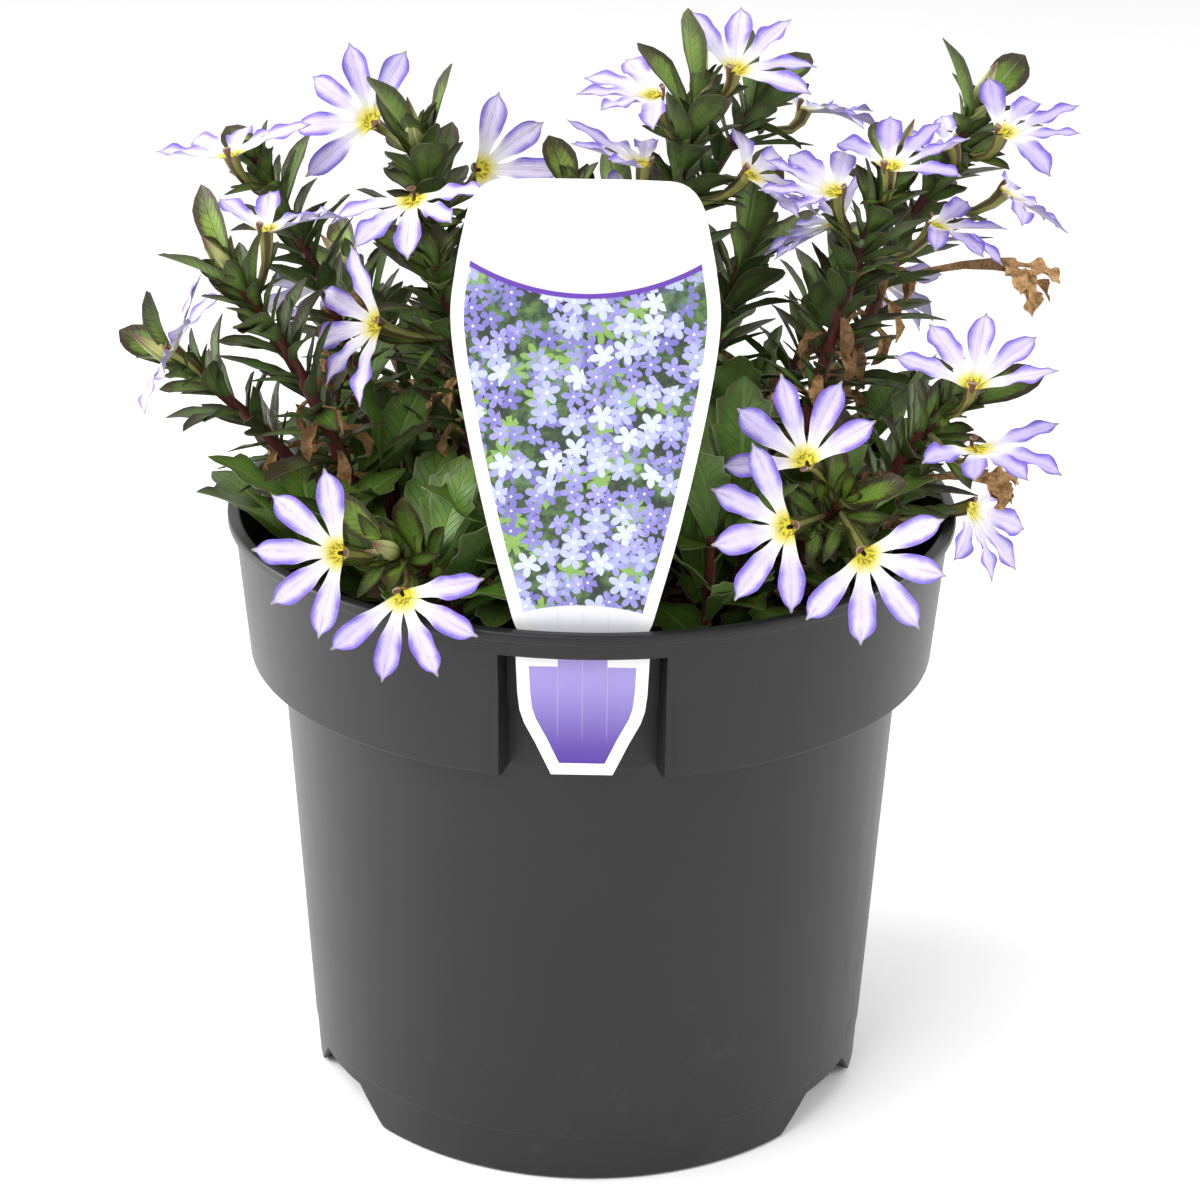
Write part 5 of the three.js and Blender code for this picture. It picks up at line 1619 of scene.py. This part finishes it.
def build_bloom(bloom):
    bundle = Bundle()
    for petal in bloom.petals:
        lay(bundle, petal, 0)
    sweep(bundle, bloom.line, TUBE_WALL + TUBE_INSIDE, 1, 12, inner_from=len(TUBE_WALL))
    foot = bloom.throat - 0.9 * bloom.fan - 1.5 * bloom.faces
    middle = bloom.throat - 1.9 * bloom.fan + 0.4 * bloom.faces
    top = bloom.throat - 1.0 * bloom.fan + 1.8 * bloom.faces
    sweep(bundle, BentLine(foot, middle, top), CUP_RADII, 2, 10, flat=0.6)
    for leaf in bracts(bloom):
        lay(bundle, leaf, 3)
    name = f"{bloom.number:02d}"
    piece = bundle.made(f"flower_{name}", FLOWER_MATERIALS)
    hand_over(piece, "petal", f"bloom_{name}")
    return piece


flowers = [build_bloom(bloom) for bloom in blooms]
print("a flower has", triangles(flowers[0]), "triangles")

# %% [markdown]
# A leafy stem is one piece: the maroon stalk with small scars where old leaves fell, every leaf on it, and
# the long pointed buds at its tip. A rosette has a short stalk and no buds. The undergrowth is one piece.

# %% Build the leafy stems
STEM_MATERIALS = [leaf_material, stem_material, bud_material, dry_material]
BUD_RADII = [(0, 0.6), (0.08, 1.3), (0.25, 1.75), (0.45, 1.6), (0.65, 1.15), (0.85, 0.6), (1, 0.08)]


def stalk(bundle, curve, start_radius, end_radius, rings=18):
    radii = []
    for ring in range(rings + 1):
        share = ring / rings
        scar = 0.12 * math.sin(2.3 * ring) ** 2
        radii.append((share, mix(start_radius, end_radius, share) * (1 + scar)))
    sweep(bundle, curve, radii, 1, 8, age=1.0)


def spindle(bundle, base, way, length, width, finish):
    radii = [(share, radius * width) for share, radius in BUD_RADII]
    tip = base + way * length
    side = np.cross(way, (0.3, 1, 0.2))
    curve = BentLine(base, (base + tip) / 2 + unit(side) * length * 0.04, tip)
    sweep(bundle, curve, radii, finish, 10)


def build_stem(name, leaves, buds):
    bundle = Bundle()
    curve = curves[name]
    stalk(bundle, curve, STEM_ROOT_RADIUS, STEM_TIP_RADIUS)
    if name == "f":
        stalk(bundle, curves["g"], 1.2, STEM_TIP_RADIUS, 8)
    for leaf in leaves:
        lay(bundle, leaf, 0)
    if buds:
        first = unit(curve.tangent(1) + 0.3 * curve.across)
        spindle(bundle, curve.at(0.97), first, 12, 1.0, 2)
        second = unit(curve.tangent(1) - 0.35 * curve.across + 0.2 * curve.depth(1))
        spindle(bundle, curve.at(0.95), second, 8, 0.7, 2)
    piece = bundle.made(f"leafy_stem_{name}", STEM_MATERIALS)
    hand_over(piece, "leaf", f"stem_{name}")
    return piece


leafy_stems = [build_stem(name, stem_leaves[name], STEMS[name][3]) for name in STEMS]
print("leafy stems:", sum(map(triangles, leafy_stems)), "triangles")

# %% Build the rosettes and the undergrowth
for i, (curve, leaves) in enumerate(zip(rosette_curves, rosettes)):
    bundle = Bundle()
    stalk(bundle, curve, STEM_ROOT_RADIUS, STEM_ROOT_RADIUS, 6)
    for leaf in leaves:
        lay(bundle, leaf, 0)
    piece = bundle.made(f"leaf_rosette_{i + 1}", STEM_MATERIALS[:2])
    hand_over(piece, "leaf", f"rosette_{i + 1}")
bundle = Bundle()
for curve in undergrowth_curves:
    stalk(bundle, curve, 1.1, 0.9, 6)
for leaf in undergrowth:
    lay(bundle, leaf, 0)
low_leaves = bundle.made("low_leaves", STEM_MATERIALS[:2])
hand_over(low_leaves, "leaf")
print("low leaves:", triangles(low_leaves), "triangles")

# %% [markdown]
# Blooms gone by hang on for weeks as tan, papery twists. They are the same blades with a strong bend and
# twist. Small ones, browner, sit in the leaf axils along the lower stems.

# %% Hang the withered blooms
for i, (stem, share, tip, length) in enumerate(SPENT):
    curve = curves[stem]
    foot = curve.at(share)
    tip = np.array(tip, float)
    out = unit(tip - foot)
    foot = foot + out * (stem_radius(share) + GAP)
    line = BentLine(foot, (foot + tip) / 2 + 3 * UP, tip)
    bundle = Bundle()
    stalk_radii = [(0, 0.6), (0.3, 0.6), (0.6, 0.8), (0.85, 1.2), (1, 1.5)]
    sweep(bundle, line, stalk_radii, 0, 8, mood=0.3)
    for k, (turn, drop) in enumerate([(-0.7, 0.2), (0, -0.5), (0.6, -0.2), (-0.3, -0.1), (0.3, 0.25)]):
        swung = Matrix.Rotation(turn, 3, "Z") @ Vector(out)
        way = np.array([swung.x, swung.y, drop])
        petal = Blade(tip - 1.5 * out, way, UP, length, 2.4, 0.9, 0.4, "petal")
        petal.twist = 2.2 * (chance(90 + i, k, 1) - 0.5)
        petal.ripple = 2.2
        petal.mood = 0.3 * chance(90 + i, k, 2)
        lay(bundle, petal, 0)
    piece = bundle.made(f"withered_flower_{i + 1}", [dry_material])
    hand_over(piece, "dry", f"spent_{i + 1}")

REMAINS = 18
remains = Bundle()
for number, name in enumerate(STEMS):
    curve = curves[name]
    for k in range(REMAINS):
        t = 0.28 + 0.40 * (k + chance(300 + number, k, 1)) / REMAINS
        out = curve.outward(t, k * GOLDEN_ANGLE + number)
        way = unit(out + UP * (0.6 * chance(300 + number, k, 2) - 0.3))
        size = 7 + 4.5 * chance(300 + number, k, 3)
        curl = Blade(curve.at(t) + out, way, UP, size, 1.6, 2.0, 0.5, "slim")
        curl.twist = 4 * (chance(300 + number, k, 4) - 0.5)
        curl.mood = 0.1 + 0.7 * chance(300 + number, k, 5)
        curl.ripple = 1.5
        lay(remains, curl, 0)
old_remains = remains.made("withered_remains", [dry_material])
hand_over(old_remains, "dry")
print("withered remains:", triangles(old_remains), "triangles")

# %% [markdown] The last step prints the size of the CAD box again.

# %% Print the size of the CAD box
print("CAD box in mm:", [round(1000 * side, 1) for side in cad_high - cad_low])
